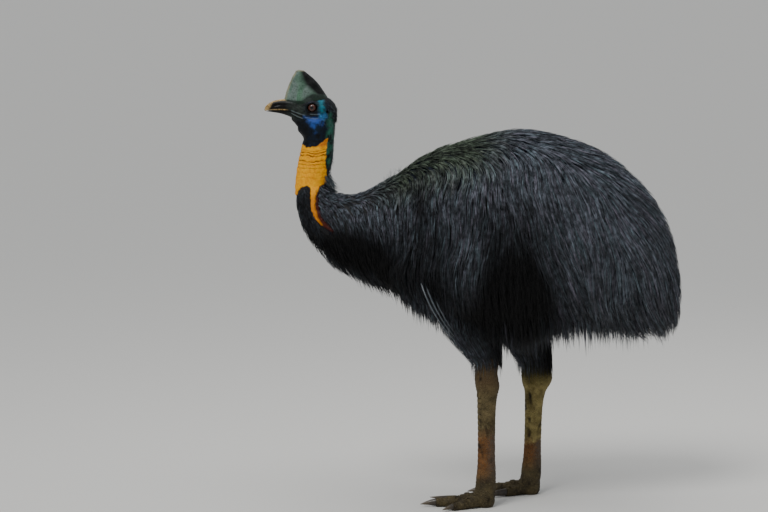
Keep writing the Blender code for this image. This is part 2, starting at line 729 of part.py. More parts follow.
def shank_ring(side, row, step, sides=10):
    """A section of the shank, its front pushed out by the edge of a scute."""
    z, behind, deep, wide = row
    share = (z - FOOT_CUT_Z) / (SHANK_CUT_Z - FOOT_CUT_Z)
    x = HEEL_X[side] + (ANKLE_X[side] - HEEL_X[side]) * share + behind
    stout = 1.0 + (ANKLE_SWELL[side] - 1.0) * min(max((share - 0.55) / 0.2, 0.0), 1.0)
    turn = np.linspace(0, 2 * math.pi, sides, endpoint=False) + math.pi / sides
    front = np.clip(-np.sin(turn), 0, 1) ** 0.5 * step
    ring = np.full((sides, 3), leg_height(side, z))
    ring[:, 0] = x + np.sin(turn) * (deep * stout + front)
    ring[:, 1] = LEG_Y[side] + np.cos(turn) * (wide * stout + front)
    return ring


def make_shank(side):
    """The bare shank from the feathers to the foot, its front stepped by overlapping scutes."""
    rings = []
    places = np.linspace(0, 1, SCUTES + 1)
    lip = SCUTE_LIP / (SHANK[0][0] - SHANK[-1][0])
    for i, place in enumerate(places):
        if i > 0:
            rings.append(shank_ring(side, rows_at(SHANK, np.array([place - lip]))[0], SCUTE_STEP))
        rings.append(shank_ring(side, rows_at(SHANK, np.array([place]))[0], 0.0))
    made = loft("shank_" + side, rings)
    cut(made, (0, 0, leg_height(side, SHANK_CUT_Z)), (0, 0, 1))
    return cut(made, (0, 0, FOOT_CUT_Z), (0, 0, 1), side=-1.0)


def toe_frame(side, toe):
    """Root point and heading of a toe in the ground plane."""
    angle = math.radians(TOES[toe][0])
    heading = np.array((-math.cos(angle), -OUTWARD[side] * math.sin(angle), 0.0))
    root = np.array((HEEL_X[side] - 0.004, LEG_Y[side], 0.0))
    return root, heading


def toe_rings(side, toe, sides=10):
    """Rings of a toe with three joint pads, from inside the foot to the claw's root."""
    _, length, root_high, tip_high = TOES[toe]
    root, heading = toe_frame(side, toe)
    across = np.cross((0, 0, 1), heading)
    rings = []
    for share in np.linspace(0, 1, 10):
        along = TOE_START + (length + TOE_REACH - TOE_START) * share
        high = root_high + (tip_high - root_high) * share
        high *= 1.0 + 0.09 * math.cos(share * 3 * 2 * math.pi) + 0.25 * (1 - share) ** 3
        wide = high * 1.08
        middle = root + heading * along
        middle[2] = high * TOE_REST + 0.004 * (1 - share) ** 2
        rings.append(ellipse(middle, across * wide, np.array((0, 0, high)), sides))
    return rings


def make_foot(side):
    """The hub that carries the three toes, flat underneath."""
    rings = []
    for z, behind, deep, wide in FOOT:
        centre = (HEEL_X[side] + behind, LEG_Y[side], z)
        rings.append(ellipse(centre, np.array((0.0, wide, 0.0)), np.array((deep, 0.0, 0.0)), 16))
    made = loft("foot_" + side, rings)
    cut(made, (0, 0, FOOT_CUT_Z), (0, 0, 1))
    return cut(made, (0, 0, -GAP / 2), (0, 0, 1), side=-1.0)


def make_toe(side, toe, neighbours):
    """A toe that starts on its neighbours' sides and rests on flat pads."""
    made = loft(f"toe_{toe}_{side}", toe_rings(side, toe))
    cut(made, (0, 0, -GAP / 2), (0, 0, 1), side=-1.0)
    root, heading = toe_frame(side, toe)
    cut(made, root + heading * (TOES[toe][1] + CLAW_CUT), heading)
    return boolean(made, [swollen(other, TOE_GAP) for other in neighbours], "DIFFERENCE")


def make_claw(side, toe):
    """A claw on the end of its toe: long and straight on the inner toe, stout on the others."""
    root, heading = toe_frame(side, toe)
    toe_length, tip_high = TOES[toe][1], TOES[toe][3]
    length, high, fall = CLAWS[toe]
    across = np.cross((0, 0, 1), heading)
    rings = []
    rest = tip_high * TOE_REST + CLAW_RISE
    for share in CLAW_RINGS:
        along = toe_length + CLAW_START + (length + CLAW_CUT - CLAW_START) * share
        size = high * (1 - share**1.4) + CLAW_BLUNT
        middle = root + heading * along
        middle[2] = max(rest - fall * share**2, size + GAP)
        rings.append(ellipse(middle, across * size * 0.82, np.array((0, 0, size)), 8))
    tip = root + heading * (toe_length + CLAW_CUT + length)
    tip[2] = max(rest - fall, 2 * CLAW_BLUNT)
    made = loft(f"claw_{toe}_{side}", rings, last_pole=tip)
    return cut(made, root + heading * (toe_length + CLAW_CUT), heading, side=-1.0)


def head_rings(sides=18):
    rings = []
    for x, top, bottom, wide in smooth_rows(HEAD, 15):
        middle = np.array((x, 0.0, (top + bottom) / 2))
        up = np.array((0, 0, (top - bottom) / 2))
        rings.append(ellipse(middle, np.array((0, wide, 0)), up, sides))
    return rings


def throat_rings(rows, count, sides=18):
    table = smooth_rows(rows, count)
    path = np.column_stack((table[:, 0], np.zeros(count), table[:, 1]))
    return tube_rings(path, table[:, 2], table[:, 3], sides)


def blended(obj, voxel, rounds, faces):
    """Fuses an object's crossing forms into one soft skin with about that many triangles."""
    remesh = obj.modifiers.new("Fuse", "REMESH")
    remesh.mode = "VOXEL"
    remesh.voxel_size = voxel
    smooth = obj.modifiers.new("Soften", "SMOOTH")
    smooth.factor = 0.5
    smooth.iterations = rounds
    made = bake(obj)
    thin = made.modifiers.new("Thin", "DECIMATE")
    thin.ratio = faces / (2 * len(made.data.polygons))
    return bake(made)


def eye_places():
    x, out, z = EYE_AT
    return {side: Vector((x, OUTWARD[side] * out, z)) for side in SIDES}


def make_eye(side):
    return ball("eye_" + side, eye_places()[side], (EYE_RADIUS,) * 3, 16, 10)


def gape_line(side, head):
    """A thin bent rod along the cheek behind the bill, which cuts the line of the mouth."""
    skin = BVHTree.FromPolygons(
        [v.co for v in head.data.vertices], [p.vertices for p in head.data.polygons]
    )
    out = OUTWARD[side]
    points = []
    for x, z in GAPE:
        hit = skin.ray_cast(Vector((x, out * 0.2, z)), Vector((0.0, -out, 0.0)))[0]
        points.append((x, hit.y, z) if hit else (x, out * HEAD[0][3], z))
    start = (points[0][0] - 0.004, points[0][1] - out * 0.003, points[0][2])
    radii = [GAPE_RADIUS] * len(points) + [GAPE_RADIUS * 0.5]
    return tapered_rod("gape " + side, [start] + points, radii)


def lid_ring(side):
    """The rim of skin round an eye, as a torus that sinks into the cheek."""
    x, out, z = EYE_AT
    bpy.ops.mesh.primitive_torus_add(
        major_segments=16,
        minor_segments=6,
        major_radius=LID_RADIUS,
        minor_radius=LID_THICK,
        location=(x, OUTWARD[side] * (out + LID_OUT), z),
        rotation=(math.pi / 2, 0, 0),
    )
    made = bpy.context.object
    made.name = "lids " + side
    return bake(made)


def make_head():
    """Skull, cheeks and upper throat in one, with lids, ear cups and the line of the gape."""
    skull = loft("head", head_rings())
    throat = loft("throat", throat_rings(THROAT, 22))
    mesh = bmesh.new()
    mesh.from_mesh(skull.data)
    mesh.from_mesh(throat.data)
    mesh.to_mesh(skull.data)
    mesh.free()
    bpy.data.objects.remove(throat, do_unlink=True)
    head = blended(skull, 0.0026, 5, 950)
    head.name = "head"
    cut(head, (0, 0, HEAD_CUT_Z), (0, 0, 1), side=-1.0)
    cut(head, (HEAD[0][0] + 0.0005, 0, 0), (-1, 0, 0))
    head = boolean(head, [lid_ring(side) for side in SIDES], "UNION")
    cutters = [
        ball("socket " + side, place, (EYE_RADIUS + GAP,) * 3, 16, 10)
        for side, place in eye_places().items()
    ]
    for side in SIDES:
        ear = (EAR_AT[0], OUTWARD[side] * EAR_AT[1], EAR_AT[2])
        cutters.append(ball("ear cup " + side, ear, EAR_SIZE, 12, 8))
        cutters.append(gape_line(side, head))
    return boolean(head, cutters, "DIFFERENCE")


def make_neck_upper():
    """The bare neck, ringed by its soft folds."""
    rows = []
    for x, z, deep, wide in smooth_rows(THROAT[2:], 27):
        share = (HEAD_CUT_Z - z) / (HEAD_CUT_Z - NECK_CUT_Z)
        swell = FOLD_DEPTH * math.cos(share * FOLDS * 2 * math.pi)
        rows.append((x, z, deep + swell, wide + swell))
    table = np.array(rows + [NECK_FOOT])
    path = np.column_stack((table[:, 0], np.zeros(len(table)), table[:, 1]))
    made = loft("neck_upper", tube_rings(path, table[:, 2], table[:, 3], 14))
    cut(made, (0, 0, HEAD_CUT_Z), (0, 0, 1))
    return cut(made, (0, 0, NECK_CUT_Z), (0, 0, 1), side=-1.0)


def bill_ring(x, top, bottom, wide, flat_edge, sides=10):
    """A bill section: round on its outer side and flat on the biting edge."""
    turn = np.linspace(0, math.pi, sides)
    y = np.cos(turn) * wide
    z = np.sin(turn) ** 0.75 * (top - bottom)
    return np.column_stack((np.full(sides, x), y, bottom + z if flat_edge == "bottom" else top - z))


def make_bill(name, stations, tip, flat_edge):
    rows = smooth_rows(stations, 9)
    rings = [bill_ring(*row, flat_edge) for row in rows]
    return loft(name, rings, last_pole=tip)


def make_bill_upper():
    """The upper bill, its nostrils sunk on both sides."""
    bill = make_bill("bill_upper", BILL_UPPER, BILL_UPPER_TIP, "bottom")
    slits = []
    for side in SIDES:
        slit = ball("nostril " + side, (0, 0, 0), NOSTRIL_SIZE, 12, 8)
        slit.rotation_euler = (0, math.radians(NOSTRIL_SLOPE), 0)
        slit.location = (NOSTRIL[0], OUTWARD[side] * NOSTRIL[1], NOSTRIL[2])
        bpy.context.view_layer.update()
        slits.append(bake(slit))
    return boolean(bill, slits, "DIFFERENCE")


def casque_ring(z, front, back, ridge, wide, half=9):
    """A casque section: a thin rounded ridge ahead, widest far back, blunt behind."""
    length = back - front
    share = np.linspace(0, 1, half)
    rise = np.clip(share / CASQUE_WIDEST, 0, 1)
    fall = np.clip((share - CASQUE_WIDEST) / (1 - CASQUE_WIDEST), 0, 1)
    y = (ridge + (wide - ridge) * rise**0.9) * np.sqrt(1 - fall**2.6)
    y[0] = 0.0
    y[-1] = 0.0
    y[1] = max(y[1], ridge)
    share[1] = 0.035
    x = front + length * share
    right = np.column_stack((x, y, np.full(half, z)))
    left = right[1:-1][::-1] * np.array((1.0, -1.0, 1.0))
    return np.vstack((right, left))


def make_casque(head, bill):
    """The helmet of horn, a tall keel seated on the brow."""
    rows = smooth_rows(CASQUE, 10)
    rings = [casque_ring(*row) for row in rows]
    made = loft("casque", rings, last_pole=CASQUE_PEAK)
    return boolean(made, [swollen(head, GAP), swollen(bill, GAP)], "DIFFERENCE")


def arc_points(root, middle, tip, count):
    """Points on the curve that passes through three places."""
    root, middle, tip = (np.array(p, float) for p in (root, middle, tip))
    bend = 2 * middle - (root + tip) / 2
    t = np.linspace(0, 1, count)[:, None]
    return root * (1 - t) ** 2 + bend * 2 * t * (1 - t) + tip * t**2


def quill_paths(side):
    """Paths of the bare wing quills, side by side and fanned a little."""
    flip = np.array((1.0, OUTWARD[side], 1.0))
    first = np.array((QUILL_ROOT, QUILL_MIDDLE, QUILL_TIP))
    return [arc_points(*(first + np.array(QUILL_STEPS) * i), 6) * flip for i in range(QUILLS)]


def wing_pieces(side, extra):
    """The wing's stub and quills, each swollen by extra."""
    rings = []
    for x, out, z, deep, thick in smooth_rows(WING_STUB, 6):
        middle = (x, OUTWARD[side] * out, z)
        rings.append(
            ellipse(middle, np.array((0, thick + extra, 0)), np.array((deep + extra, 0, 0)), 10)
        )
    top = rings[0].mean(axis=0) + np.array((0, 0, 0.012 + extra))
    low = rings[-1].mean(axis=0) - np.array((0, 0, 0.010 + extra))
    pieces = [loft("wing_" + side, rings, top, low)]
    for i, path in enumerate(quill_paths(side)):
        radii = np.linspace(QUILL_RADIUS, QUILL_RADIUS * 0.3, len(path)) + extra
        pieces.append(tapered_rod(f"quill {i} {side}", path, radii))
    return pieces


def make_wing(side):
    """The stub of a wing with its five bare quills."""
    stub, *quills = wing_pieces(side, 0.0)
    return boolean(stub, quills, "UNION")


def finish(nodes, materials):
    """Gives each node its material and stands the bird over the origin."""
    bounds = np.array([v.co for obj in nodes for v in obj.data.vertices])
    low, high = bounds.min(axis=0), bounds.max(axis=0)
    shift = -(low + high) / 2
    shift[2] = 0.0
    for obj in nodes:
        for vertex in obj.data.vertices:
            vertex.co += Vector(shift)
        obj.data.materials.clear()
        obj.data.materials.append(materials[finish_of(obj.name)])


def finish_of(name):
    """The finish that a node of this name has."""
    starts = {
        "head": "head skin",
        "neck_upper": "golden skin",
        "casque": "casque horn",
        "bill": "bill horn",
        "eye": "iris",
        "shank": "leg scales",
        "foot": "leg scales",
        "toe": "leg scales",
        "claw": "claw horn",
        "wing": "quill",
    }
    return next((finish for start, finish in starts.items() if name.startswith(start)), "plumage")


def main():
    nodes = []
    neck_lower, neck_base, torso, rump = make_trunk_nodes()
    legs = [drumstick_sleeve(side) for side in SIDES]
    wings = [piece for side in SIDES for piece in wing_pieces(side, GAP)]
    torso = boolean(torso, legs + wings, "DIFFERENCE", LOCK_SOLVER)
    wings = [piece for side in SIDES for piece in wing_pieces(side, GAP)]
    neck_base = boolean(neck_base, wings, "DIFFERENCE", LOCK_SOLVER)
    nodes += [neck_lower, neck_base, torso, rump]
    for side in SIDES:
        hub = make_foot(side)
        nodes += [make_drumstick(side), make_shank(side), hub, make_wing(side), make_eye(side)]
        middle = make_toe(side, "middle", [hub])
        nodes += [middle] + [make_toe(side, toe, [hub, middle]) for toe in ("inner", "outer")]
        nodes += [make_claw(side, toe) for toe in TOES]
    head = make_head()
    bill = make_bill_upper()
    lower = make_bill("bill_lower", BILL_LOWER, BILL_LOWER_TIP, "top")
    nodes += [head, bill, lower, make_casque(head, bill), make_neck_upper()]
    finish(nodes, make_materials())


clear_scene()
PARTS = new_collection("northern cassowary")
main()
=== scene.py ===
"""Looks of a northern cassowary, life size: bare skin, hair-like plumage, casque, bill, scutes and claws.

Lengths are metres. The tables keep the drawing frame of the solids, in which the bird looks along -X
with its left side to -Y and stands at Z = 0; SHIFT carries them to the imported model.
"""

import math

import bmesh
import bpy
import numpy as np
from mathutils import Matrix, Vector


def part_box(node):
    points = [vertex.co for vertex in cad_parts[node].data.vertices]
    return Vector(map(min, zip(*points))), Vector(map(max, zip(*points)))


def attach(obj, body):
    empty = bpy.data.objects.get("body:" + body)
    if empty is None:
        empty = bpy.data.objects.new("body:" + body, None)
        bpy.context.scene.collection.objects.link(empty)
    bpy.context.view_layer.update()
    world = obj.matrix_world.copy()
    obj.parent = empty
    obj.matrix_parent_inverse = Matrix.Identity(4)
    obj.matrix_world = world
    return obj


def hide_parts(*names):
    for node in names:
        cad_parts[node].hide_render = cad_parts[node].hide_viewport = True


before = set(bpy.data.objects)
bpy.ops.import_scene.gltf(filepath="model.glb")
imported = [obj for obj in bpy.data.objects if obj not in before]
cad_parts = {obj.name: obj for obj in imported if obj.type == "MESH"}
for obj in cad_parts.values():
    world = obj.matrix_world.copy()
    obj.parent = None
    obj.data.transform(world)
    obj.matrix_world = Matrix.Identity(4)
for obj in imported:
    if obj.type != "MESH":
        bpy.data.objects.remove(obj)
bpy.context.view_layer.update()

SIDES = ("left", "right")
OUTWARD = {"left": -1.0, "right": 1.0}
# The solid eye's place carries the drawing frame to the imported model; the seen eye sits a little behind it
SOLID_EYE = np.array((-0.5458, -0.0215, 1.1499))
EYE_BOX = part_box("eye_left")
SHIFT = np.array((EYE_BOX[0] + EYE_BOX[1]) / 2) - SOLID_EYE
SHIFT[2] = 0.0
EYE_AT = np.array((-0.5428, 0.0215, 1.1508))
EYE_RADIUS = 0.0135

# Head: station, top, bottom and half width, from the bill's root to the back of the skull
HEAD = [
    (-0.6030, 1.1755, 1.1150, 0.0168),
    (-0.5920, 1.1773, 1.1025, 0.0203),
    (-0.5800, 1.1790, 1.0900, 0.0235),
    (-0.5600, 1.1818, 1.0880, 0.0290),
    (-0.5395, 1.1847, 1.0930, 0.0330),
    (-0.5190, 1.1847, 1.0962, 0.0340),
    (-0.4990, 1.1790, 1.0962, 0.0310),
    (-0.4830, 1.1660, 1.1000, 0.0235),
    (-0.4725, 1.1480, 1.1100, 0.0120),
]
# Bare neck: centre X, centre Z, half depth fore and aft, half width
THROAT = [
    (-0.5420, 1.1300, 0.0400, 0.0270),
    (-0.5345, 1.1080, 0.0540, 0.0350),
    (-0.5290, 1.0920, 0.0530, 0.0362),
    (-0.5255, 1.0740, 0.0470, 0.0362),
    (-0.5250, 1.0560, 0.0435, 0.0362),
    (-0.5270, 1.0400, 0.0455, 0.0365),
    (-0.5330, 1.0050, 0.0480, 0.0375),
    (-0.5420, 0.9650, 0.0465, 0.0385),
    (-0.5465, 0.9280, 0.0462, 0.0395),
    (-0.5465, 0.9150, 0.0440, 0.0380),
]
# Coat's outline from the bare neck to the fringe under the rump: upper end X, Z, lower end X, Z and
# half width, then the same for the flesh under it
COAT = [
    (-0.4995, 0.92785, -0.5935, 0.92785, 0.0410),
    (-0.4870, 0.9190, -0.5925, 0.8930, 0.0455),
    (-0.4700, 0.9080, -0.5870, 0.8450, 0.0530),
    (-0.4450, 0.9020, -0.5690, 0.7880, 0.0630),
    (-0.4180, 0.9020, -0.5300, 0.7310, 0.0760),
    (-0.3820, 0.9150, -0.4690, 0.6720, 0.0950),
    (-0.3370, 0.9400, -0.3780, 0.6300, 0.1210),
    (-0.2900, 0.9650, -0.3050, 0.6080, 0.1430),
    (-0.2465, 1.0000, -0.2465, 0.5620, 0.1600),
    (-0.1740, 1.0360, -0.1900, 0.5310, 0.1830),
    (-0.1000, 1.0590, -0.1200, 0.5080, 0.2000),
    (-0.0165, 1.0800, -0.0350, 0.4950, 0.2120),
    (0.0660, 1.0890, 0.0500, 0.4930, 0.2180),
    (0.1550, 1.0760, 0.1250, 0.4950, 0.2180),
    (0.2440, 1.0480, 0.1800, 0.4970, 0.2130),
    (0.3326, 1.0050, 0.2150, 0.4960, 0.2030),
    (0.4214, 0.9200, 0.2450, 0.4890, 0.1880),
    (0.4805, 0.8350, 0.2700, 0.4850, 0.1710),
    (0.5130, 0.7350, 0.2950, 0.4810, 0.1520),
    (0.5280, 0.6400, 0.3200, 0.4780, 0.1300),
    (0.5270, 0.5500, 0.3400, 0.4750, 0.1080),
    (0.5100, 0.4850, 0.3600, 0.4720, 0.0840),
]
FLESH = [
    (-0.5030, 0.92785, -0.5900, 0.92785, 0.0375),
    (-0.4900, 0.9130, -0.5860, 0.8900, 0.0400),
    (-0.4780, 0.8960, -0.5760, 0.8400, 0.0450),
    (-0.4560, 0.8870, -0.5540, 0.7900, 0.0530),
    (-0.4300, 0.8870, -0.5140, 0.7450, 0.0630),
    (-0.3900, 0.8980, -0.4560, 0.6980, 0.0770),
    (-0.3400, 0.9230, -0.3700, 0.6560, 0.0980),
    (-0.2930, 0.9500, -0.3000, 0.6330, 0.1150),
    (-0.2465, 0.9850, -0.2465, 0.5960, 0.1310),
    (-0.1740, 1.0210, -0.1820, 0.5640, 0.1540),
    (-0.1000, 1.0440, -0.1100, 0.5450, 0.1690),
    (-0.0165, 1.0650, -0.0250, 0.5370, 0.1800),
    (0.0660, 1.0740, 0.0600, 0.5400, 0.1860),
    (0.1550, 1.0590, 0.1350, 0.5560, 0.1840),
    (0.2350, 1.0280, 0.1950, 0.5780, 0.1740),
    (0.3050, 0.9800, 0.2450, 0.6050, 0.1560),
    (0.3600, 0.9200, 0.2850, 0.6250, 0.1340),
    (0.4000, 0.8650, 0.3200, 0.6450, 0.1120),
    (0.4280, 0.8100, 0.3500, 0.6600, 0.0880),
    (0.4450, 0.7650, 0.3750, 0.6700, 0.0660),
    (0.4520, 0.7300, 0.4000, 0.6780, 0.0450),
    (0.4530, 0.7050, 0.4200, 0.6830, 0.0260),
]
# How square the coat hangs below its widest line, by place along the trunk
SKIRT = [(0.0, 2.0), (0.28, 2.2), (0.50, 3.6), (1.0, 3.0)]
# The skin's place between the flesh and the coat's face, a little inside the solids' core
SKIN_SHARE = 0.35

# Legs, with the left one ahead; the right ankle is lower and stouter
LEG_Y = {"left": -0.095, "right": 0.095}
ANKLE_X = {"left": -0.0400, "right": 0.1100}
HEEL_X = {"left": -0.0400, "right": 0.1015}
ANKLE_DROP = {"left": 0.0, "right": 0.0220}
ANKLE_SWELL = {"left": 1.0, "right": 1.12}
# How much further each ankle swells out behind, round this height
ANKLE_HEEL = {"left": -0.0070, "right": 0.0065}
ANKLE_HEEL_Z = 0.3750
# Drumstick: X from the ankle, Z, half depth, half width, coat's depth
DRUMSTICK = [
    (0.0010, 0.4200, 0.0370, 0.0320, 0.0080),
    (-0.0210, 0.4700, 0.0530, 0.0380, 0.0130),
    (-0.0420, 0.5100, 0.0640, 0.0430, 0.0150),
    (-0.0500, 0.5500, 0.0690, 0.0470, 0.0150),
    (-0.0600, 0.5950, 0.0740, 0.0500, 0.0150),
]
THIGH_Z = 0.5500
ANKLE_TOP_Z = 0.4300
FOOT_Z = 0.0700
# Shank and foot: Z, X behind the axis, half depth, half width
SHANK = [
    (0.4500, 0.0000, 0.0340, 0.0285),
    (0.4300, 0.0010, 0.0350, 0.0290),
    (0.4000, 0.0000, 0.0345, 0.0290),
    (0.3760, 0.0020, 0.0375, 0.0300),
    (0.3520, 0.0040, 0.0365, 0.0290),
    (0.3250, 0.0020, 0.0290, 0.0230),
    (0.2900, 0.0000, 0.0262, 0.0195),
    (0.2300, 0.0000, 0.0245, 0.0185),
    (0.1500, 0.0000, 0.0245, 0.0190),
    (0.1050, 0.0000, 0.0265, 0.0215),
    (0.0700, -0.0020, 0.0290, 0.0260),
    (0.0560, -0.0025, 0.0280, 0.0260),
]
FOOT = [
    (0.0760, -0.0020, 0.0285, 0.0255),
    (0.0560, -0.0030, 0.0295, 0.0275),
    (0.0400, -0.0060, 0.0300, 0.0300),
    (0.0250, -0.0070, 0.0310, 0.0310),
    (0.0100, -0.0060, 0.0290, 0.0290),
    (-0.0030, -0.0050, 0.0210, 0.0210),
]
# Toes: heading from straight ahead, positive inwards, then length, root and tip half heights
TOES = {
    "inner": (30.0, 0.072, 0.0175, 0.0125),
    "middle": (0.0, 0.128, 0.0195, 0.0130),
    "outer": (-32.0, 0.098, 0.0165, 0.0110),
}
# Claws: length past the toe, root half height, fall towards the tip
CLAWS = {
    "inner": (0.098, 0.0105, 0.0040),
    "middle": (0.046, 0.0110, 0.0070),
    "outer": (0.036, 0.0090, 0.0060),
}

# Bill: station, top, bottom and half width of each half
BILL_UPPER = [
    (-0.5940, 1.1757, 1.1400, 0.0178),
    (-0.6150, 1.1745, 1.1425, 0.0140),
    (-0.6340, 1.1735, 1.1433, 0.0110),
    (-0.6550, 1.1690, 1.1433, 0.0080),
    (-0.6700, 1.1610, 1.1425, 0.0052),
    (-0.6790, 1.1520, 1.1405, 0.0026),
]
BILL_UPPER_TIP = (-0.6815, 0.0, 1.1435)
BILL_LOWER = [
    (-0.5940, 1.1393, 1.1170, 0.0166),
    (-0.6150, 1.1417, 1.1265, 0.0130),
    (-0.6340, 1.1425, 1.1325, 0.0098),
    (-0.6550, 1.1425, 1.1362, 0.0068),
    (-0.6680, 1.1417, 1.1382, 0.0044),
]
BILL_LOWER_TIP = (-0.6760, 0.0, 1.1392)
NOSTRIL = (-0.6440, 1.1568)
# The line of the mouth behind the bill, X and Z
GAPE = [(-0.6137, 1.1425), (-0.5991, 1.1359), (-0.5844, 1.1293), (-0.5698, 1.1234)]
# Grooves in the skin under the gape and under the eye, darkened with painted shade, and the ridges beside
# them, paled with a painted highlight
GROOVES = [
    [(-0.6137, 1.1374), (-0.5991, 1.1286), (-0.5845, 1.1205), (-0.5727, 1.1168)],
    [(-0.5520, 1.1362), (-0.5400, 1.1352), (-0.5300, 1.1352), (-0.5190, 1.1362)],
    [(-0.5600, 1.1260), (-0.5450, 1.1262), (-0.5310, 1.1262), (-0.5230, 1.1270)],
]
RIDGES = [
    [(-0.6137, 1.1454), (-0.6049, 1.1425), (-0.5932, 1.1381), (-0.5756, 1.1322), (-0.5654, 1.1293)],
    [(-0.6120, 1.1398), (-0.5991, 1.1322), (-0.5844, 1.1249), (-0.5712, 1.1200)],
    [(-0.5480, 1.1325), (-0.5400, 1.1316), (-0.5300, 1.1313), (-0.5200, 1.1320)],
    [(-0.5622, 1.1225), (-0.5490, 1.1210), (-0.5344, 1.1188), (-0.5256, 1.1210)],
]
# Lids: radius of the rim, half axes of the opening, distance from the middle plane, half thickness
# across the rim and outwards, and how far the upper lid and the two corners stand out
LID_RADIUS = 0.0146
LID_OPENING = (0.0128, 0.0114)
LID_Y = 0.0292
LID_THICKNESS = (0.0024, 0.0032)
LID_HOOD = 0.0006
LID_CORNER = 0.10
EAR_AT = (-0.4990, 1.1380)

# Casque: height, front, back, half width of the front ridge, widest half width
CASQUE = [
    (1.1560, -0.6150, -0.5050, 0.0100, 0.0250),
    (1.1700, -0.6235, -0.4990, 0.0085, 0.0250),
    (1.1840, -0.6210, -0.5015, 0.0065, 0.0235),
    (1.2000, -0.6160, -0.5125, 0.0050, 0.0205),
    (1.2190, -0.6095, -0.5252, 0.0040, 0.0165),
    (1.2350, -0.6010, -0.5415, 0.0035, 0.0125),
    (1.2480, -0.5950, -0.5560, 0.0030, 0.0085),
    (1.2560, -0.5905, -0.5670, 0.0022, 0.0050),
]
CASQUE_PEAK = (-0.5820, 0.0, 1.2590)
CASQUE_WIDEST = 0.68

# Wing: the stub's stations X, outward Y, Z, half depth, half thickness, then its quills
WING_STUB = [
    (-0.2080, 0.1560, 0.8000, 0.0150, 0.0110),
    (-0.2150, 0.1580, 0.7700, 0.0190, 0.0125),
    (-0.2250, 0.1565, 0.7300, 0.0200, 0.0125),
    (-0.2330, 0.1510, 0.6950, 0.0170, 0.0110),
    (-0.2350, 0.1470, 0.6700, 0.0120, 0.0085),
]
QUILL_ROOT = (-0.2370, 0.1490, 0.6780)
QUILL_MIDDLE = (-0.1990, 0.1850, 0.5860)
QUILL_TIP = (-0.1380, 0.1880, 0.5000)
QUILLS = 5
QUILL_RADIUS = 0.0029
# How far each quill's root, middle and tip stand from the one before; the later ones lie in the feathers
QUILL_STEPS = ((0.0120, -0.0040, 0.0010), (0.0095, -0.0160, 0.0020), (0.0030, -0.0290, 0.0050))
# The stub is set this far in, so that the coat covers it
STUB_SUNK = 0.022

# Markings on head and neck, as outlines on the side view, X and Z
MARKINGS = {
    "gold": [
        (-0.6000, 1.0500), (-0.5725, 1.0441), (-0.5620, 1.0385), (-0.5503, 1.0360), (-0.5342, 1.0398),
        (-0.5241, 1.0441), (-0.5108, 1.0540), (-0.4991, 1.0619), (-0.5021, 1.0253), (-0.5054, 0.9920),
        (-0.5018, 0.9700), (-0.5005, 0.9450), (-0.5015, 0.9310),
        (-0.5108, 0.9300), (-0.5224, 0.9240), (-0.5318, 0.8988), (-0.5345, 0.8688), (-0.5258, 0.8422),
        (-0.5118, 0.8139), (-0.5174, 0.8150), (-0.5350, 0.8340), (-0.5462, 0.8588), (-0.5477, 0.8921),
        (-0.5490, 0.9214), (-0.5574, 0.9271), (-0.5723, 0.9237), (-0.5847, 0.9088), (-0.5956, 0.8805),
        (-0.6106, 0.8805),
    ],
    "turquoise": [
        (-0.5292, 1.1773), (-0.5087, 1.1773), (-0.5065, 1.1539), (-0.5058, 1.1350), (-0.5183, 1.1340),
        (-0.5256, 1.1480), (-0.5270, 1.1627),
    ],
    "sky": [
        (-0.5227, 1.1348), (-0.5051, 1.1363), (-0.5000, 1.1245), (-0.5066, 1.1157), (-0.5183, 1.1201),
        (-0.5242, 1.1289),
    ],
    "cobalt": [
        (-0.5667, 1.1260), (-0.5480, 1.1225), (-0.5256, 1.1225), (-0.5110, 1.1172), (-0.5125, 1.1040),
        (-0.5243, 1.0849), (-0.5360, 1.0791), (-0.5440, 1.0940), (-0.5579, 1.1128),
    ],
    "teal": [
        (-0.4979, 1.1404), (-0.4847, 1.1330), (-0.4790, 1.1037), (-0.4780, 1.0743), (-0.4810, 1.0400),
        (-0.4880, 0.9900), (-0.5020, 0.9790), (-0.5041, 1.0186), (-0.5005, 1.0560), (-0.5015, 1.0743),
        (-0.4965, 1.0890), (-0.4994, 1.1110),
    ],
    "lores": [
        (-0.6273, 1.1900), (-0.6006, 1.1900), (-0.5673, 1.1800), (-0.5637, 1.1537), (-0.5623, 1.1362),
        (-0.5403, 1.1255), (-0.5580, 1.1215), (-0.5800, 1.1170), (-0.6140, 1.1100), (-0.6339, 1.1300),
    ],
    "violet": [
        (-0.5606, 1.1832), (-0.5386, 1.1861), (-0.5310, 1.1790), (-0.5387, 1.1690), (-0.5548, 1.1680),
        (-0.5636, 1.1714),
    ],
    "amber": [
        (-0.5290, 1.0410), (-0.5108, 1.0570), (-0.4980, 1.0640), (-0.4990, 1.0440), (-0.5090, 1.0400),
    ],
    # The stripe's dark red right edge: partly the skin's own red, partly painted shadow along the stripe's
    # right side
    "rust": [
        (-0.5291, 0.9154), (-0.5268, 0.8951), (-0.5245, 0.8750), (-0.5232, 0.8588), (-0.5135, 0.8339),
        (-0.4820, 0.7995), (-0.4840, 0.7950), (-0.5108, 0.8109), (-0.5271, 0.8365), (-0.5345, 0.8655),
        (-0.5325, 0.8950),
    ],
}
MARK_SOFTNESS = {
    "gold": 0.0016, "turquoise": 0.0055, "sky": 0.0055, "cobalt": 0.0060, "teal": 0.0060, "lores": 0.0080,
    "violet": 0.0050, "amber": 0.0030, "rust": 0.0040,
}
# Height and breadth of the ripples in the outlines' edges
RAGGED_EDGE = (0.0011, 0.012)
# The casque's dark rear face on the same side view
CASQUE_REAR = [
    (-0.5790, 1.2700), (-0.5200, 1.2700), (-0.4900, 1.2180), (-0.4900, 1.1800), (-0.5290, 1.1860),
    (-0.5400, 1.1970), (-0.5510, 1.2080), (-0.5600, 1.2150), (-0.5680, 1.2300), (-0.5750, 1.2480),
]
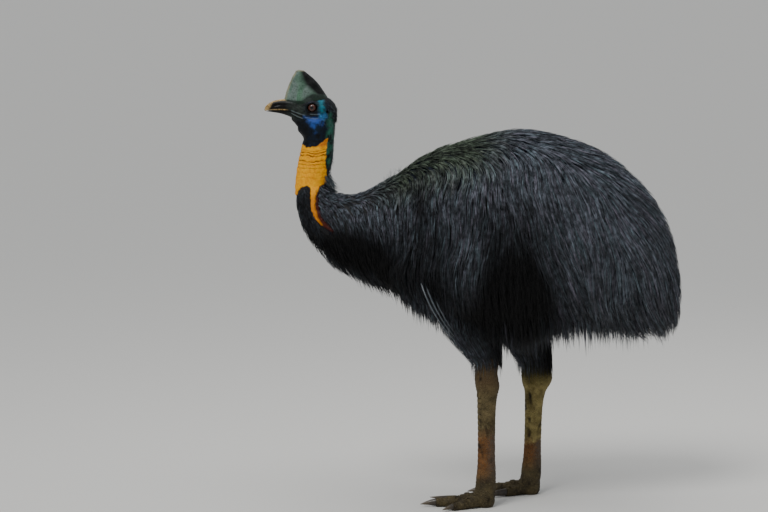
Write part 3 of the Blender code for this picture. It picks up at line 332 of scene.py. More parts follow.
# The dark band along the casque's foot ends on this line
CASQUE_FOOT = [(-0.6110, 1.1735), (-0.5930, 1.1706), (-0.5730, 1.1706), (-0.5580, 1.1823), (-0.5405, 1.1911)]

SEED = 41
PIXELS_WIDE = 768
PIXELS_HIGH = 512
# Camera: eight metres off, a little above the bird, at the photograph's scale and framing
CAMERA_DISTANCE = 8.0
CAMERA_RISE = 6.5
METRES_PER_PIXEL = 0.0029
PIXEL_OF_ORIGIN = (500, 504)
SENSOR = 36.0
FLOOR_SIZE = 200.0
# Strength of the pale surround, where the lights aim, and each light's kind, place, size and energy
SURROUND = 0.50
LIGHTS_AIM = (0.0, 0.0, 0.75)
LIGHTS = {
    "window light": ("SUN", (-2.0, -3.2, 5.0), 0.40, 1.6),
    "overhead light": ("AREA", (0.1, -0.2, 3.4), 3.0, 60.0),
    "rear light": ("AREA", (2.6, 2.0, 2.4), 1.6, 14.0),
}


# Geometry shared by skin and coat


def rows_at(rows, places):
    """Smooth rows of a table of stations, at places from 0 (first row) to 1 (last row)."""
    table = np.array(rows, float)
    slope = np.gradient(table, axis=0)
    index = np.clip(places, 0, 1) * (len(table) - 1)
    low = np.minimum(index.astype(int), len(table) - 2)
    t = (index - low)[:, None]
    return (
        table[low] * (2 * t**3 - 3 * t**2 + 1)
        + table[low + 1] * (3 * t**2 - 2 * t**3)
        + slope[low] * (t**3 - 2 * t**2 + t)
        + slope[low + 1] * (t**3 - t**2)
    )


def smooth_rows(rows, count):
    return rows_at(rows, np.linspace(0, 1, count))


def section_points(rows, place, turns):
    """Points at an angle round each trunk section: 0 is the right flank, a quarter turn the top."""
    rise, out = np.sin(turns), np.cos(turns)
    square = by_table(SKIRT, place)
    fuller = np.sign(out) * (1 - np.abs(rise) ** square) ** (1 / square)
    out = np.where(rise < 0, fuller, out)
    top = np.column_stack((rows[:, 0], np.zeros(len(rows)), rows[:, 1]))
    low = np.column_stack((rows[:, 2], np.zeros(len(rows)), rows[:, 3]))
    points = (top + low) / 2 + (top - low) / 2 * rise[:, None]
    points[:, 1] = out * rows[:, 4]
    return points


def trunk_points(along, turn, share):
    """Places over the trunk, from its flesh (share 0) to its coat's outer face (share 1)."""
    flesh = section_points(rows_at(FLESH, along), along, turn)
    outer = section_points(rows_at(COAT, along), along, turn)
    return flesh + (outer - flesh) * np.reshape(share, (-1, 1))


def unit(vectors):
    return vectors / np.maximum(np.linalg.norm(vectors, axis=-1, keepdims=True), 1e-9)


def bell(distance, width, power=2):
    """1 at no distance, falling away smoothly over a width."""
    return np.exp(-((distance / width) ** power))


def swelling(distance, size, power=2):
    """A low swelling, from its height and half width."""
    height, width = size
    return height * bell(distance, width, power)


def rising(value, start, span):
    """0 up to a start and 1 from a span beyond it; a negative span rises towards lower values."""
    return np.clip((value - start) / span, 0, 1)


def by_table(table, value):
    """Values read off a table of pairs."""
    return np.interp(value, *np.array(table).T)


def ripple(points, size, seed, waves=14):
    """A smooth random field, mostly -1 to 1, whose swells are about `size` across."""
    draw = np.random.default_rng(seed)
    heading = unit(draw.normal(size=(waves, 3))) * draw.uniform(0.6, 1.5, (waves, 1))
    phase = draw.uniform(0, 2 * math.pi, waves)
    return np.sin(points @ heading.T * (2 * math.pi / size) + phase).sum(axis=1) / math.sqrt(waves)


def waves(points, swell, number):
    """Smooth random heights, from a swell's height and breadth and the field's own number."""
    height, size = swell
    return height * ripple(points, size, SEED + number)


def from_stretch(flat, a, b):
    """Distance on the side view from each point to one straight stretch."""
    run = b - a
    t = np.clip(((flat - a) @ run) / (run @ run), 0, 1)
    return np.linalg.norm(flat - a - t[:, None] * run, axis=1)


def within(points, outline, soft):
    """1 inside an outline drawn on the side view, 0 outside, with an edge `soft` metres wide."""
    corners = np.array(outline)
    flat = points[:, [0, 2]]
    nearest = np.full(len(flat), 1e9)
    inside = np.zeros(len(flat), bool)
    for a, b in zip(corners, np.roll(corners, -1, axis=0)):
        nearest = np.minimum(nearest, from_stretch(flat, a, b))
        spans = (a[1] > flat[:, 1]) != (b[1] > flat[:, 1])
        rise = b[1] - a[1] if b[1] != a[1] else 1e-9
        inside ^= spans & (flat[:, 0] < a[0] + (flat[:, 1] - a[1]) / rise * (b[0] - a[0]))
    signed = np.where(inside, nearest, -nearest)
    return np.clip(0.5 + signed / (2 * soft), 0, 1)


def marks_at(points):
    """The strength of each marking at points, with its edges a little ragged."""
    ragged = points.copy()
    ragged[:, 0] += waves(points, RAGGED_EDGE, 0)
    ragged[:, 2] += waves(points, RAGGED_EDGE, 1)
    marks = {name: within(ragged, outline, MARK_SOFTNESS[name]) for name, outline in MARKINGS.items()}
    # The golden stripe reddens as it runs down
    marks["amber"] = np.maximum(marks["amber"], rising(points[:, 2], 0.9150, -0.030) * 0.8)
    return marks


def path_distance(points, path):
    """Distance on the side view from each point to a polyline."""
    flat = points[:, [0, 2]]
    nearest = np.full(len(flat), 1e9)
    for a, b in zip(np.array(path), np.array(path)[1:]):
        nearest = np.minimum(nearest, from_stretch(flat, a, b))
    return nearest


# Mesh making


def band_into(bm, row, following):
    """Faces between two rings of vertices."""
    for i in range(len(row)):
        j = (i + 1) % len(row)
        bm.faces.new((row[i], row[j], following[j], following[i]))


def loft_into(bm, rings, last_pole=None):
    """A closed skin through rings of points, flat at its first end, and flat or at a pole at its last."""
    rows = [[bm.verts.new(point) for point in ring] for ring in rings]
    for row, following in zip(rows, rows[1:]):
        band_into(bm, row, following)
    bm.faces.new(rows[0])
    last = rows[-1]
    if last_pole is None:
        bm.faces.new(last)
        return
    tip = bm.verts.new(last_pole)
    for i in range(len(last)):
        bm.faces.new((last[i], last[(i + 1) % len(last)], tip))


def shown(name, data):
    """A new object, linked to the scene."""
    made = bpy.data.objects.new(name, data)
    bpy.context.scene.collection.objects.link(made)
    return made


def object_from(name, bm):
    """An object with a bmesh's faces, turned outwards."""
    bmesh.ops.recalc_face_normals(bm, faces=bm.faces)
    mesh = bpy.data.meshes.new(name)
    bm.to_mesh(mesh)
    bm.free()
    return shown(name, mesh)


def ellipse(centre, across, along, sides):
    turn = np.linspace(0, 2 * math.pi, sides, endpoint=False)
    return centre + np.outer(np.cos(turn), across) + np.outer(np.sin(turn), along)


def level_ring(centre, deep, wide, sides):
    """A level ellipse, with its half depth fore and aft and its half width."""
    return ellipse(centre, np.array((0, wide, 0)), np.array((deep, 0, 0)), sides)


def tube_rings(path, half_along, half_side, sides):
    """Elliptic rings square to a path in the bird's middle plane."""
    heading = unit(np.gradient(path, axis=0))
    side = np.array((0.0, 1.0, 0.0))
    return [
        ellipse(point, side * across, np.cross(ahead, side) * along, sides)
        for point, ahead, along, across in zip(path, heading, half_along, half_side)
    ]


def baked(obj):
    """Turns an object and its modifiers into a plain mesh."""
    graph = bpy.context.evaluated_depsgraph_get()
    mesh = bpy.data.meshes.new_from_object(obj.evaluated_get(graph))
    mesh.transform(obj.matrix_world)
    name, old = obj.name, obj.data
    bpy.data.objects.remove(obj, do_unlink=True)
    if old.users == 0 and isinstance(old, bpy.types.Mesh):
        bpy.data.meshes.remove(old)
    return shown(name, mesh)


def softened(obj, voxel, rounds):
    """Fuses an object's crossing forms and smooths the result."""
    fuse = obj.modifiers.new("Fuse", "REMESH")
    fuse.mode = "VOXEL"
    fuse.voxel_size = voxel
    soften = obj.modifiers.new("Soften", "SMOOTH")
    soften.factor = 0.5
    soften.iterations = rounds
    return baked(obj)


def united(obj, others, operation="UNION"):
    """One Boolean of several closed meshes, whose objects are then removed."""
    tools = bpy.data.collections.new(obj.name + " tools")
    bpy.context.scene.collection.children.link(tools)
    for other in others:
        bpy.context.scene.collection.objects.unlink(other)
        tools.objects.link(other)
    modifier = obj.modifiers.new(operation.title(), "BOOLEAN")
    modifier.operation = operation
    modifier.operand_type = "COLLECTION"
    modifier.collection = tools
    modifier.solver = "MANIFOLD"
    made = baked(obj)
    for other in others:
        bpy.data.objects.remove(other, do_unlink=True)
    bpy.data.collections.remove(tools)
    return made


def vectors_of(rows, key):
    values = np.empty(len(rows) * 3, np.float32)
    rows.foreach_get(key, values)
    return values.reshape(-1, 3).astype(float)


def points_of(mesh):
    return vectors_of(mesh.vertices, "co")


def normals_of(mesh):
    return vectors_of(mesh.vertex_normals, "vector")


def move_points(mesh, points):
    mesh.vertices.foreach_set("co", points.astype(np.float32).ravel())
    mesh.update()


def store(mesh, name, values):
    """Keeps one number at each vertex, under a name that materials read."""
    attribute = mesh.attributes.new(name, "FLOAT", "POINT")
    attribute.data.foreach_set("value", values.astype(np.float32))


def settle(obj, slot, *materials, replaces=()):
    """Finishes a piece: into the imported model's frame, smooth, with its materials, on its body."""
    obj.data.transform(Matrix.Translation(SHIFT))
    if obj.data.materials:
        obj.data.materials.clear()
    for material in materials:
        obj.data.materials.append(material)
    obj.data.shade_smooth()
    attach(obj, "root")
    if replaces:
        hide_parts(*replaces)
    return obj


# Materials


def colour(code):
    """Linear colour from an sRGB hex value."""
    parts = [int(code[i : i + 2], 16) / 255 for i in (1, 3, 5)]
    return (*(p / 12.92 if p <= 0.04045 else ((p + 0.055) / 1.055) ** 2.4 for p in parts), 1.0)


def add(tree, kind, inputs=(), **settings):
    """Adds a node with its settings; each input is a value or another node's output."""
    node = tree.nodes.new(kind)
    for name, value in settings.items():
        setattr(node, name, value)
    for key, value in dict(inputs).items():
        if isinstance(value, bpy.types.NodeSocket):
            tree.links.new(value, node.inputs[key])
        else:
            node.inputs[key].default_value = value
    return node


def new_material(name, **shader_values):
    """A material with one Principled shader, its fixed values set on the shader's own sockets."""
    material = bpy.data.materials.new(name)
    material.use_nodes = True
    shader = material.node_tree.nodes["Principled BSDF"]
    for key, value in shader_values.items():
        shader.inputs[key.replace("_", " ")].default_value = value
    return material, material.node_tree, shader


def mixed(tree, share, first, second):
    """Colour between two hex values or sockets, by a share."""
    first, second = (colour(c) if isinstance(c, str) else c for c in (first, second))
    return add(tree, "ShaderNodeMix", {0: share, 6: first, 7: second}, data_type="RGBA").outputs[2]


def blend(tree, value, low, high, first, second):
    """Colour that runs from a first to a second while a value runs from low to high."""
    return mixed(tree, ramp(tree, value, low, high), first, second)


def paint(tree, shader, tone):
    """Makes a colour the surface's own."""
    tree.links.new(tone, shader.inputs["Base Color"])


def attribute(tree, name):
    return add(tree, "ShaderNodeAttribute", attribute_name=name).outputs["Fac"]


def drawn(tree, kind, size, stretch=(1.0, 1.0, 1.0), **inputs):
    """A pattern in the piece's own coordinates whose features are `size` metres across."""
    place = add(tree, "ShaderNodeTexCoord").outputs["Object"]
    if min(stretch) < 1.0:
        place = add(tree, "ShaderNodeMapping", {"Vector": place, "Scale": stretch}).outputs["Vector"]
    return add(tree, kind, {"Vector": place, "Scale": 1.0 / size, **inputs})


def noise(tree, size, stretch=(1.0, 1.0, 1.0), **inputs):
    """A noise pattern's value, with features `size` metres across."""
    return drawn(tree, "ShaderNodeTexNoise", size, stretch, **inputs).outputs["Fac"]


def ramp(tree, value, low, high, first=0.0, last=1.0):
    """A value stretched from low..high to first..last."""
    return add(tree, "ShaderNodeMapRange", {0: value, 1: low, 2: high, 3: first, 4: last}).outputs[0]


def times(tree, value, other):
    return add(tree, "ShaderNodeMath", {0: value, 1: other}, operation="MULTIPLY").outputs[0]


def bumped(tree, shader, height, depth, then=None):
    """Bump of a real depth in metres, over another bump if there is one."""
    inputs = {"Height": height, "Distance": depth, "Strength": 1.0}
    if then is not None:
        inputs["Normal"] = then
    normal = add(tree, "ShaderNodeBump", inputs).outputs["Normal"]
    tree.links.new(normal, shader.inputs["Normal"])
    return normal


# Levels of noise between which one colour passes into another: even patches, and flecks on a ground
PATCHY = (0.35, 0.65)
FLECKED = (0.35, 0.7)


def make_plumage():
    """Contour feathers of a ratite: keratin without barbules, coarse as hair, black with a dull gloss.

    Strands carry a painted cool grey sheen with painted highlights in short dashes, painted shade blackens
    the coat where it lies in shade, and the back has a trace of green from algae and preening oil.
    """
    material, tree, shader = new_material(
        "black hair-like plumage", Roughness=0.52, Specular_IOR_Level=0.13, Sheen_Weight=0.04,
        Sheen_Roughness=0.5,
    )
    # Painted highlights: strands catch the light in short dashes
    highlight_dashes = noise(tree, 0.014, Detail=2.0)
    tone = times(tree, attribute(tree, "tone"), ramp(tree, highlight_dashes, 0.36, 0.66, 0.55, 1.30))
    # Painted sheen: the lighter strands carry a cool grey reflected light in their colour
    sheen = mixed(tree, attribute(tree, "hue"), "#73848d", "#7d7887")
    toned = blend(tree, tone, 0.12, 1.05, "#1a1e23", sheen)
    tip = blend(tree, attribute(tree, "part"), 0.60, 1.8, toned, "#5a595a")
    algal = blend(tree, tone, 0.15, 1.0, "#171c12", "#5f6f4e")
    green = mixed(tree, attribute(tree, "crest"), tip, algal)
    # Painted shade: the coat is blackened where it lies in shade
    shaded = mixed(tree, attribute(tree, "darkening_and_painted_shade"), green, "#020203")
    paint(tree, shader, shaded)
    return material


def make_skin_materials():
    """Bare living skin of head and neck, black skin under the coat, and horny scaled leg skin."""
    bare, tree, shader = new_material(
        "bare carunculate skin", Roughness=0.52, Subsurface_Weight=0.06, Subsurface_Scale=0.003,
        Specular_IOR_Level=0.16,
    )
    shader.inputs["Subsurface Radius"].default_value = (1.0, 0.45, 0.25)
    mottle = noise(tree, 0.011, Detail=5.0, Roughness=0.6)
    patches = noise(tree, 0.020, Detail=3.0)
    fine = noise(tree, 0.0020, Detail=4.0)
    navy = blend(tree, mottle, *PATCHY, "#010306", "#071526")
    layers = [
        ("lores", "#0b0f0d", "#252d27"),
        ("teal", "#051a15", "#285f4e"),
        ("cobalt", "#051a2a", "#25498f"),
        ("violet", "#1c1c24", "#3c3a4a"),
        ("sky", "#1b5080", "#3f84ba"),
        ("turquoise", "#06323b", "#19697a"),
        ("gold", "#de9000", "#f4ac00"),
    ]
    shade = navy
    for name, dark, light in layers:
        pattern = (patches, 0.40, 0.56) if name in ("cobalt", "teal") else (mottle, 0.35, 0.62)
        shade = mixed(tree, attribute(tree, name), shade, blend(tree, *pattern, dark, light))
    gold = attribute(tree, "gold")
    amber = times(tree, attribute(tree, "amber"), gold)
    reddened = mixed(tree, amber, shade, mixed(tree, mottle, "#a2520e", "#d07e1e"))
    # The stripe's dark red edge, partly the skin's own colour and partly painted shadow
    rusty = mixed(tree, attribute(tree, "rust"), reddened, mixed(tree, mottle, "#120504", "#5a1e08"))
    # Painted highlight on the tops of the face's ridges
    ridge_highlighted = mixed(tree, attribute(tree, "ridge_highlight"), rusty, "#7f8d90")
    # Painted shade in the neck's creases
    crease_shaded = mixed(tree, attribute(tree, "painted_crease_shade"), ridge_highlighted, "#642c00")
    # Dark skin, with painted shade in the grooves, mouth and ear and under the jaw
    dark = mixed(tree, attribute(tree, "dark"), crease_shaded, "#020304")
    paint(tree, shader, dark)
    pores = drawn(tree, "ShaderNodeTexVoronoi", 0.0018).outputs["Distance"]
    first = bumped(tree, shader, fine, 0.0006)
    bumped(tree, shader, pores, 0.0004, first)

    covered, tree, shader = new_material("skin under the coat", Roughness=0.8)
    speck = noise(tree, 0.01)
    under = mixed(tree, speck, "#050506", "#0c0c0d")
    paint(tree, shader, under)

    leg = make_leg_material("horny leg skin")
    return bare, covered, leg


# Heights over which the leg's colours change: tan to ankle, shank to dusty foot, and tan to rusty
ANKLE_TONE_Z = (0.322, 0.368)
FOOT_TONE_Z = (0.120, 0.070)
RUST_TONE_Z = (0.222, 0.192)
# The left leg's heights are shifted by this, so that its rusty stretch starts higher up
LEFT_RUST_SHIFT = -0.055
RAGGED_BY = 0.09


def make_leg_material(name):
    """Horny scaled skin: tan keratin dulled by dry dust, olive at the right ankle, rusty lower down; the
    right leg's tan is painted paler, as painted light that makes up for the shade it stands in.
    """
    material, tree, shader = new_material(name, Roughness=0.64, Specular_IOR_Level=0.16)
    blotch = noise(tree, 0.030, Detail=6.0, Roughness=0.65)
    spots = noise(tree, 0.024, (1.0, 1.0, 0.6), Detail=1.0)
    grain = noise(tree, 0.004, Detail=5.0)
    place = add(tree, "ShaderNodeTexCoord").outputs["Object"]
    across, height = (add(tree, "ShaderNodeSeparateXYZ", {0: place}).outputs[axis] for axis in ("Y", "Z"))
    left = ramp(tree, across, 0.02, -0.02)
    left_tan = blend(tree, blotch, *PATCHY, "#3a321f", "#6a5d3f")
    # Painted light: the right leg's tan is paler, to make up for the shade it stands in
    right_tan_painted_lighter = blend(tree, blotch, *PATCHY, "#5a4f2b", "#958755")
    tan = mixed(tree, left, right_tan_painted_lighter, left_tan)
    ankle = mixed(tree, left, "#2e2a02", "#4c3d28")
    upper = blend(tree, height, *ANKLE_TONE_Z, tan, ankle)
    shift = {0: left, 1: LEFT_RUST_SHIFT, 2: height}
    shifted = add(tree, "ShaderNodeMath", shift, operation="MULTIPLY_ADD").outputs[0]
    rust = blend(tree, blotch, *PATCHY, "#462d16", "#77502c")
    # Only the front of the shank is stained; its rear is a duller grey-brown
    facing = add(tree, "ShaderNodeSeparateXYZ", {0: add(tree, "ShaderNodeNewGeometry").outputs["Normal"]})
    stained = blend(tree, facing.outputs["X"], -0.10, 0.45, rust, "#51453a")
    edge = {0: blotch, 1: RAGGED_BY, 2: shifted}
    ragged = add(tree, "ShaderNodeMath", edge, operation="MULTIPLY_ADD").outputs[0]
    rusty = blend(tree, ragged, *RUST_TONE_Z, upper, stained)
    foot = blend(tree, blotch, *PATCHY, "#2c261b", "#50462f")
    lower = blend(tree, height, *FOOT_TONE_Z, rusty, foot)
    dusty = blend(tree, grain, 0.55, 0.85, lower, "#6c5f45")
    spotted = blend(tree, spots, 0.62, 0.76, dusty, "#1e170d")
    paint(tree, shader, spotted)
    bumped(tree, shader, grain, 0.0008)
    return material


def make_casque_material():
    """Horn sheath of the casque: grey-green keratin, polished by wear, dark behind, with growth lines."""
    material, tree, shader = new_material("casque horn sheath", Roughness=0.42, Specular_IOR_Level=0.13)
    cloud = noise(tree, 0.022, Detail=6.0, Roughness=0.6)
    tint = noise(tree, 0.026, (1.0, 1.0, 0.35), Detail=2.0)
    fleck = noise(tree, 0.0035, Detail=5.0)
    horn = blend(tree, tint, 0.40, 0.60, "#52785f", "#727f7a")
    side = blend(tree, cloud, 0.3, 0.7, "#40584a", horn)
    scuffed = blend(tree, fleck, 0.50, 0.75, side, "#26342d")
    rear = mixed(tree, attribute(tree, "rear"), scuffed, "#030504")
    edge = mixed(tree, attribute(tree, "ridge"), rear, "#8f8a70")
    paint(tree, shader, edge)
    lines = add(
        tree, "ShaderNodeTexWave",
        {"Vector": add(tree, "ShaderNodeTexCoord").outputs["Object"], "Scale": 150.0, "Distortion": 6.0},
        bands_direction="Z",
    ).outputs["Fac"]
    first = bumped(tree, shader, lines, 0.00015)
    bumped(tree, shader, fleck, 0.0008, first)
    return material


def make_bill_material():
    """Bill horn: near black, worn to pale tan along the ridge and the biting edges, skin-grey at its root."""
    material, tree, shader = new_material("bill horn", Roughness=0.36, Specular_IOR_Level=0.16)
    fleck = noise(tree, 0.004, Detail=5.0)
    dark = blend(tree, fleck, *FLECKED, "#040404", "#12110e")
    tan = blend(tree, fleck, *PATCHY, "#7e6436", "#d2b27a")
    worn = mixed(tree, attribute(tree, "worn"), dark, tan)
    fleshy = mixed(tree, attribute(tree, "root"), worn, mixed(tree, fleck, "#0f1311", "#262c27"))
    paint(tree, shader, fleshy)
    bumped(tree, shader, fleck, 0.0004)
    return material


def make_claw_material():
    """Claw horn: dark brown-black keratin, streaked along its length and scuffed at the tip."""
    material, tree, shader = new_material("claw horn", Roughness=0.36)
    fleck = noise(tree, 0.006, Detail=6.0)
    base = blend(tree, fleck, *FLECKED, "#17130f", "#3b3227")
    scuffed = mixed(tree, attribute(tree, "part"), base, "#54493a")
    paint(tree, shader, scuffed)
    bumped(tree, shader, fleck, 0.0006)
    return material


def make_quill_material():
    """Bare wing quills: solid rods of glossy keratin, blue-grey with a pale reflection."""
    material, tree, shader = new_material("quill keratin", Roughness=0.28)
    fleck = noise(tree, 0.01, Detail=4.0)
    grey = mixed(tree, fleck, "#1c2024", "#5d646a")
    paint(tree, shader, grey)
    return material


def make_eye_material():
    """A wet eye: red-brown iris with radial fibres, black pupil and rim, under a clear cornea."""
    material, tree, shader = new_material(
        "eye", Roughness=0.35, Specular_IOR_Level=0.08, Coat_Weight=0.85, Coat_Roughness=0.02,
    )
    off = attribute(tree, "off_axis")
    fibre = attribute(tree, "fibre")
    iris = mixed(tree, fibre, "#220e0a", "#583124")
    inner = blend(tree, off, 0.0042, 0.0050, "#020202", iris)
    rim = blend(tree, off, 0.0106, 0.0120, inner, "#080505")
    paint(tree, shader, rim)
    return material


# Skin


def neck_forms():
    """Skull, throat, lids and the neck's root, as crossing closed forms."""
    bm = bmesh.new()
    skull = []
    for x, top, bottom, wide in smooth_rows(HEAD, 40):
        middle = np.array((x, 0.0, (top + bottom) / 2))
        skull.append(ellipse(middle, np.array((0, wide, 0)), np.array((0, 0, (top - bottom) / 2)), 48))
    loft_into(bm, skull)
    throat = smooth_rows(THROAT, 50)
    path = np.column_stack((throat[:, 0], np.zeros(len(throat)), throat[:, 1]))
    loft_into(bm, tube_rings(path, throat[:, 2], throat[:, 3], 48))
    loft_into(bm, trunk_rings(np.linspace(0.0, 0.25, 40), 0.16))
    for side in SIDES:
        lid_into(bm, side)
    return object_from("skin", bm)


def trunk_rings(places, fading_from=2.0, sides=64):
    """Rings of skin on the trunk; past a place they sink towards the flesh."""
    turns = np.linspace(0, 2 * math.pi, sides, endpoint=False)
    rings = []
    for place in places:
        share = SKIN_SHARE - max(place - fading_from, 0.0) * 4.0
        rings.append(trunk_points(np.full(sides, place), turns, np.full(sides, share)))
    return rings


def lid_into(bm, side):
    """The rim of skin round an eye, drawn out to a corner before and behind."""
    turns = np.linspace(0, 2 * math.pi, 40, endpoint=False)
    out = OUTWARD[side]
    wide, thick = LID_THICKNESS
    rings = []
    for turn in turns:
        corner = 1.0 + LID_CORNER * abs(math.cos(turn)) ** 6
        radial = np.array((math.cos(turn), 0.0, math.sin(turn)))
        hood = LID_HOOD * max(math.sin(turn), 0.0)
        centre = np.array((EYE_AT[0], out * LID_Y, EYE_AT[2])) + radial * LID_RADIUS * corner
        outwards = np.array((0.0, out * (thick + hood), 0.0))
        rings.append(ellipse(centre, radial * (wide + hood), outwards, 12))
    rows = [[bm.verts.new(point) for point in ring] for ring in rings]
    for row, following in zip(rows, rows[1:] + rows[:1]):
        band_into(bm, row, following)


# Creases across the golden neck: height, depth, half width, and how far each dips in the middle
CREASES = [
    (1.0310, 0.0014, 0.0013, 0.0040), (1.0225, 0.0024, 0.0019, 0.0045), (1.0125, 0.0022, 0.0018, 0.0015),
    (0.9995, 0.0022, 0.0018, 0.0025), (0.9875, 0.0014, 0.0015, 0.0010), (0.9765, 0.0010, 0.0014, 0.0010),
    (0.9640, 0.0005, 0.0014, 0.0000), (0.9480, 0.0005, 0.0014, 0.0000), (1.0560, 0.0006, 0.0012, 0.0040),
]
CREASE_MIDDLE = -0.5350
CREASE_SAG_WIDTH = 0.022
CREASE_REAR_X = -0.496
CREASE_TOP_Z = 1.075
DEEP_CREASE = 0.0018
LONG_WAVER = (0.0016, 0.034)
SHORT_WAVER = (0.0009, 0.012)
CREASE_BREAKS = (0.35, 0.026)
# Strength of the painted shade in the neck's creases
CREASE_SHADE = 0.85
# Strength of the painted highlight on the face's ridges
RIDGE_HIGHLIGHT = 0.40
FOLD_DEPTH = 0.0013
FOLD_WIDTH = 0.0011
# Height and half width of the mouth's cut and its lips, of the ear's cup and rim, and of jaw and hollow
MOUTH_CUT = (0.0016, 0.0012)
LIP = (0.0006, 0.0016)
LIP_FROM_MOUTH = 0.0034
MOUTH_END_X = -0.5600
EAR_CUP = (0.0050, 0.0030)
EAR_RIM = (0.0009, 0.0014)
EAR_RIM_RADIUS = 0.0052
EAR_STRETCH = (1.0, 0.78)
EAR_SHADE_RADIUS = 0.0034
JAW = (0.0018, 0.0070)
JAW_LINE = [(-0.590, 1.1215), (-0.560, 1.1130), (-0.535, 1.1080)]
HOLLOW = (0.0016, 0.0075)
HOLLOW_LINE = [(-0.590, 1.1560), (-0.566, 1.1530)]
# How far from the bird's middle plane each of these begins
MOUTH_OUT = 0.004
JAW_OUT = 0.008
EAR_OUT = 0.010
LIDS_OUT = 0.012
STRIPE_RISE = 0.0050
STRIPE_TOP_Z = 0.928
# Height and width of the skin's pebbles and of its soft swellings
PEBBLES = (0.00035, 0.0042)
SWELLS = (0.0004, 0.016)
# Outlines of dark skin on the crown and back of the head, and of painted shade under the jaw
CROWN = [
    (-0.540, 1.20), (-0.455, 1.20), (-0.455, 1.06), (-0.476, 1.06), (-0.4850, 1.135), (-0.4960, 1.168),
    (-0.535, 1.181),
]
UNDER_JAW_SHADE = [
    (-0.625, 1.130), (-0.590, 1.116), (-0.560, 1.104), (-0.548, 1.080), (-0.556, 1.050), (-0.620, 1.050),
]


def crease_depths(points):
    """How deep the neck's creases run at points: wavy, and broken where they run out."""
    x, z = points[:, 0], points[:, 2]
    waver = waves(points, LONG_WAVER, 2) + waves(points, SHORT_WAVER, 3)
    broken = np.clip(0.90 + waves(points, CREASE_BREAKS, 14), 0.25, 1.0)
    depth = np.zeros(len(points))
    for height, deep, wide, dip in CREASES:
        sag = dip * bell(x - CREASE_MIDDLE, CREASE_SAG_WIDTH)
        depth += deep * bell(z + waver - (height - sag), wide)
    fade = rising(x, CREASE_REAR_X, -0.012) * rising(z, CREASE_TOP_Z, -0.01)
    return depth * fade * broken


def fold_places(points):
    """How near points are to the bottoms of the face's grooves, and to the tops of its ridges."""
    beside = rising(np.abs(points[:, 1]), 0.006, 0.004)
    groove, ridge = (
        np.maximum.reduce([bell(path_distance(points, path), FOLD_WIDTH) for path in paths])
        for paths in (GROOVES, RIDGES)
    )
    return groove * beside, ridge * beside


def sculpt_neck(mesh):
    """Folds, creases, the line of the mouth, eye openings, ear cups and caruncles."""
    points, normals = points_of(mesh), normals_of(mesh)
    marks = marks_at(points)
    out = np.abs(points[:, 1])
    move = waves(points, PEBBLES, 4) * np.clip(marks["gold"] + 0.4, 0, 1) - crease_depths(points)
    mouth = path_distance(points, GAPE)
    open_here = (out > MOUTH_OUT) * (points[:, 0] < MOUTH_END_X)
    move -= swelling(mouth, MOUTH_CUT) * open_here
    move += swelling(mouth - LIP_FROM_MOUTH, LIP) * open_here
    groove, ridge = fold_places(points)
    move += FOLD_DEPTH * (0.5 * ridge - groove)
    ear = np.linalg.norm((points[:, [0, 2]] - np.array(EAR_AT)) * EAR_STRETCH, axis=1)
    move -= swelling(ear, EAR_CUP, 4) * (out > EAR_OUT)
    move += swelling(ear - EAR_RIM_RADIUS, EAR_RIM) * (out > EAR_OUT)
    # Cheek and jaw stand a little proud of the lores
    move += swelling(path_distance(points, JAW_LINE), JAW) * (out > JAW_OUT)
    move -= swelling(path_distance(points, HOLLOW_LINE), HOLLOW) * (out > JAW_OUT)
    # The golden stripe and its red edge stand up level with the feathers on both sides
    stripe = np.maximum(marks["gold"], marks["rust"])
    move += STRIPE_RISE * stripe * rising(points[:, 2], STRIPE_TOP_Z, -0.03)
    points = points + normals * (move + waves(points, SWELLS, 5))[:, None]
    # The opening of the lids is cut back behind the eyeball's front
    off_eye = np.linalg.norm((points[:, [0, 2]] - EYE_AT[[0, 2]]) / np.array(LID_OPENING), axis=1)
    opened = rising(off_eye, 1.05, -0.09) * (out > LIDS_OUT)
    points[:, 1] -= np.sign(points[:, 1]) * opened * np.maximum(np.abs(points[:, 1]) - EYE_AT[1], 0)
    move_points(mesh, points)


def leg_height(side, z):
    """A height on a leg, lowered in proportion where its ankle is lower."""
    share = (z - FOOT_Z) / (ANKLE_TOP_Z - FOOT_Z)
    return z - ANKLE_DROP[side] * np.minimum(share, 1.0)


def drumstick_section(side, z_of_near, share):
    """Centres and half axes of a drumstick's sections, at shares of its coat's depth."""
    heights = [row[1] for row in DRUMSTICK]
    place = np.interp(z_of_near, heights, np.linspace(0, 1, len(heights)))
    rows = rows_at(DRUMSTICK, place)
    z = np.minimum(z_of_near, rows[:, 1])
    drop = ANKLE_DROP[side] * (THIGH_Z - z) / (THIGH_Z - ANKLE_TOP_Z)
    stout = ANKLE_SWELL[side] + (1.0 - ANKLE_SWELL[side]) * (z - ANKLE_TOP_Z) / 0.12
    centre = np.column_stack((ANKLE_X[side] + rows[:, 0], np.full(len(z), LEG_Y[side]), z - drop))
    swell = rows[:, 4] * share
    return centre, rows[:, 2] * stout + swell, rows[:, 3] * stout + swell


def shank_rings(side, count=60, sides=32):
    rings = []
    for z, behind, deep, wide in smooth_rows(SHANK, count):
        share = (z - FOOT_Z) / (ANKLE_TOP_Z - FOOT_Z)
        x = HEEL_X[side] + (ANKLE_X[side] - HEEL_X[side]) * share + behind
        stout = 1.0 + (ANKLE_SWELL[side] - 1.0) * min(max((share - 0.55) / 0.2, 0.0), 1.0)
        heel = ANKLE_HEEL[side] * math.exp(-(((z - ANKLE_HEEL_Z) / 0.032) ** 2)) / 2
        centre = np.array((x + heel, LEG_Y[side], leg_height(side, z)))
        deep = deep * stout + heel
        rings.append(level_ring(centre, deep, wide * stout, sides))
    return rings


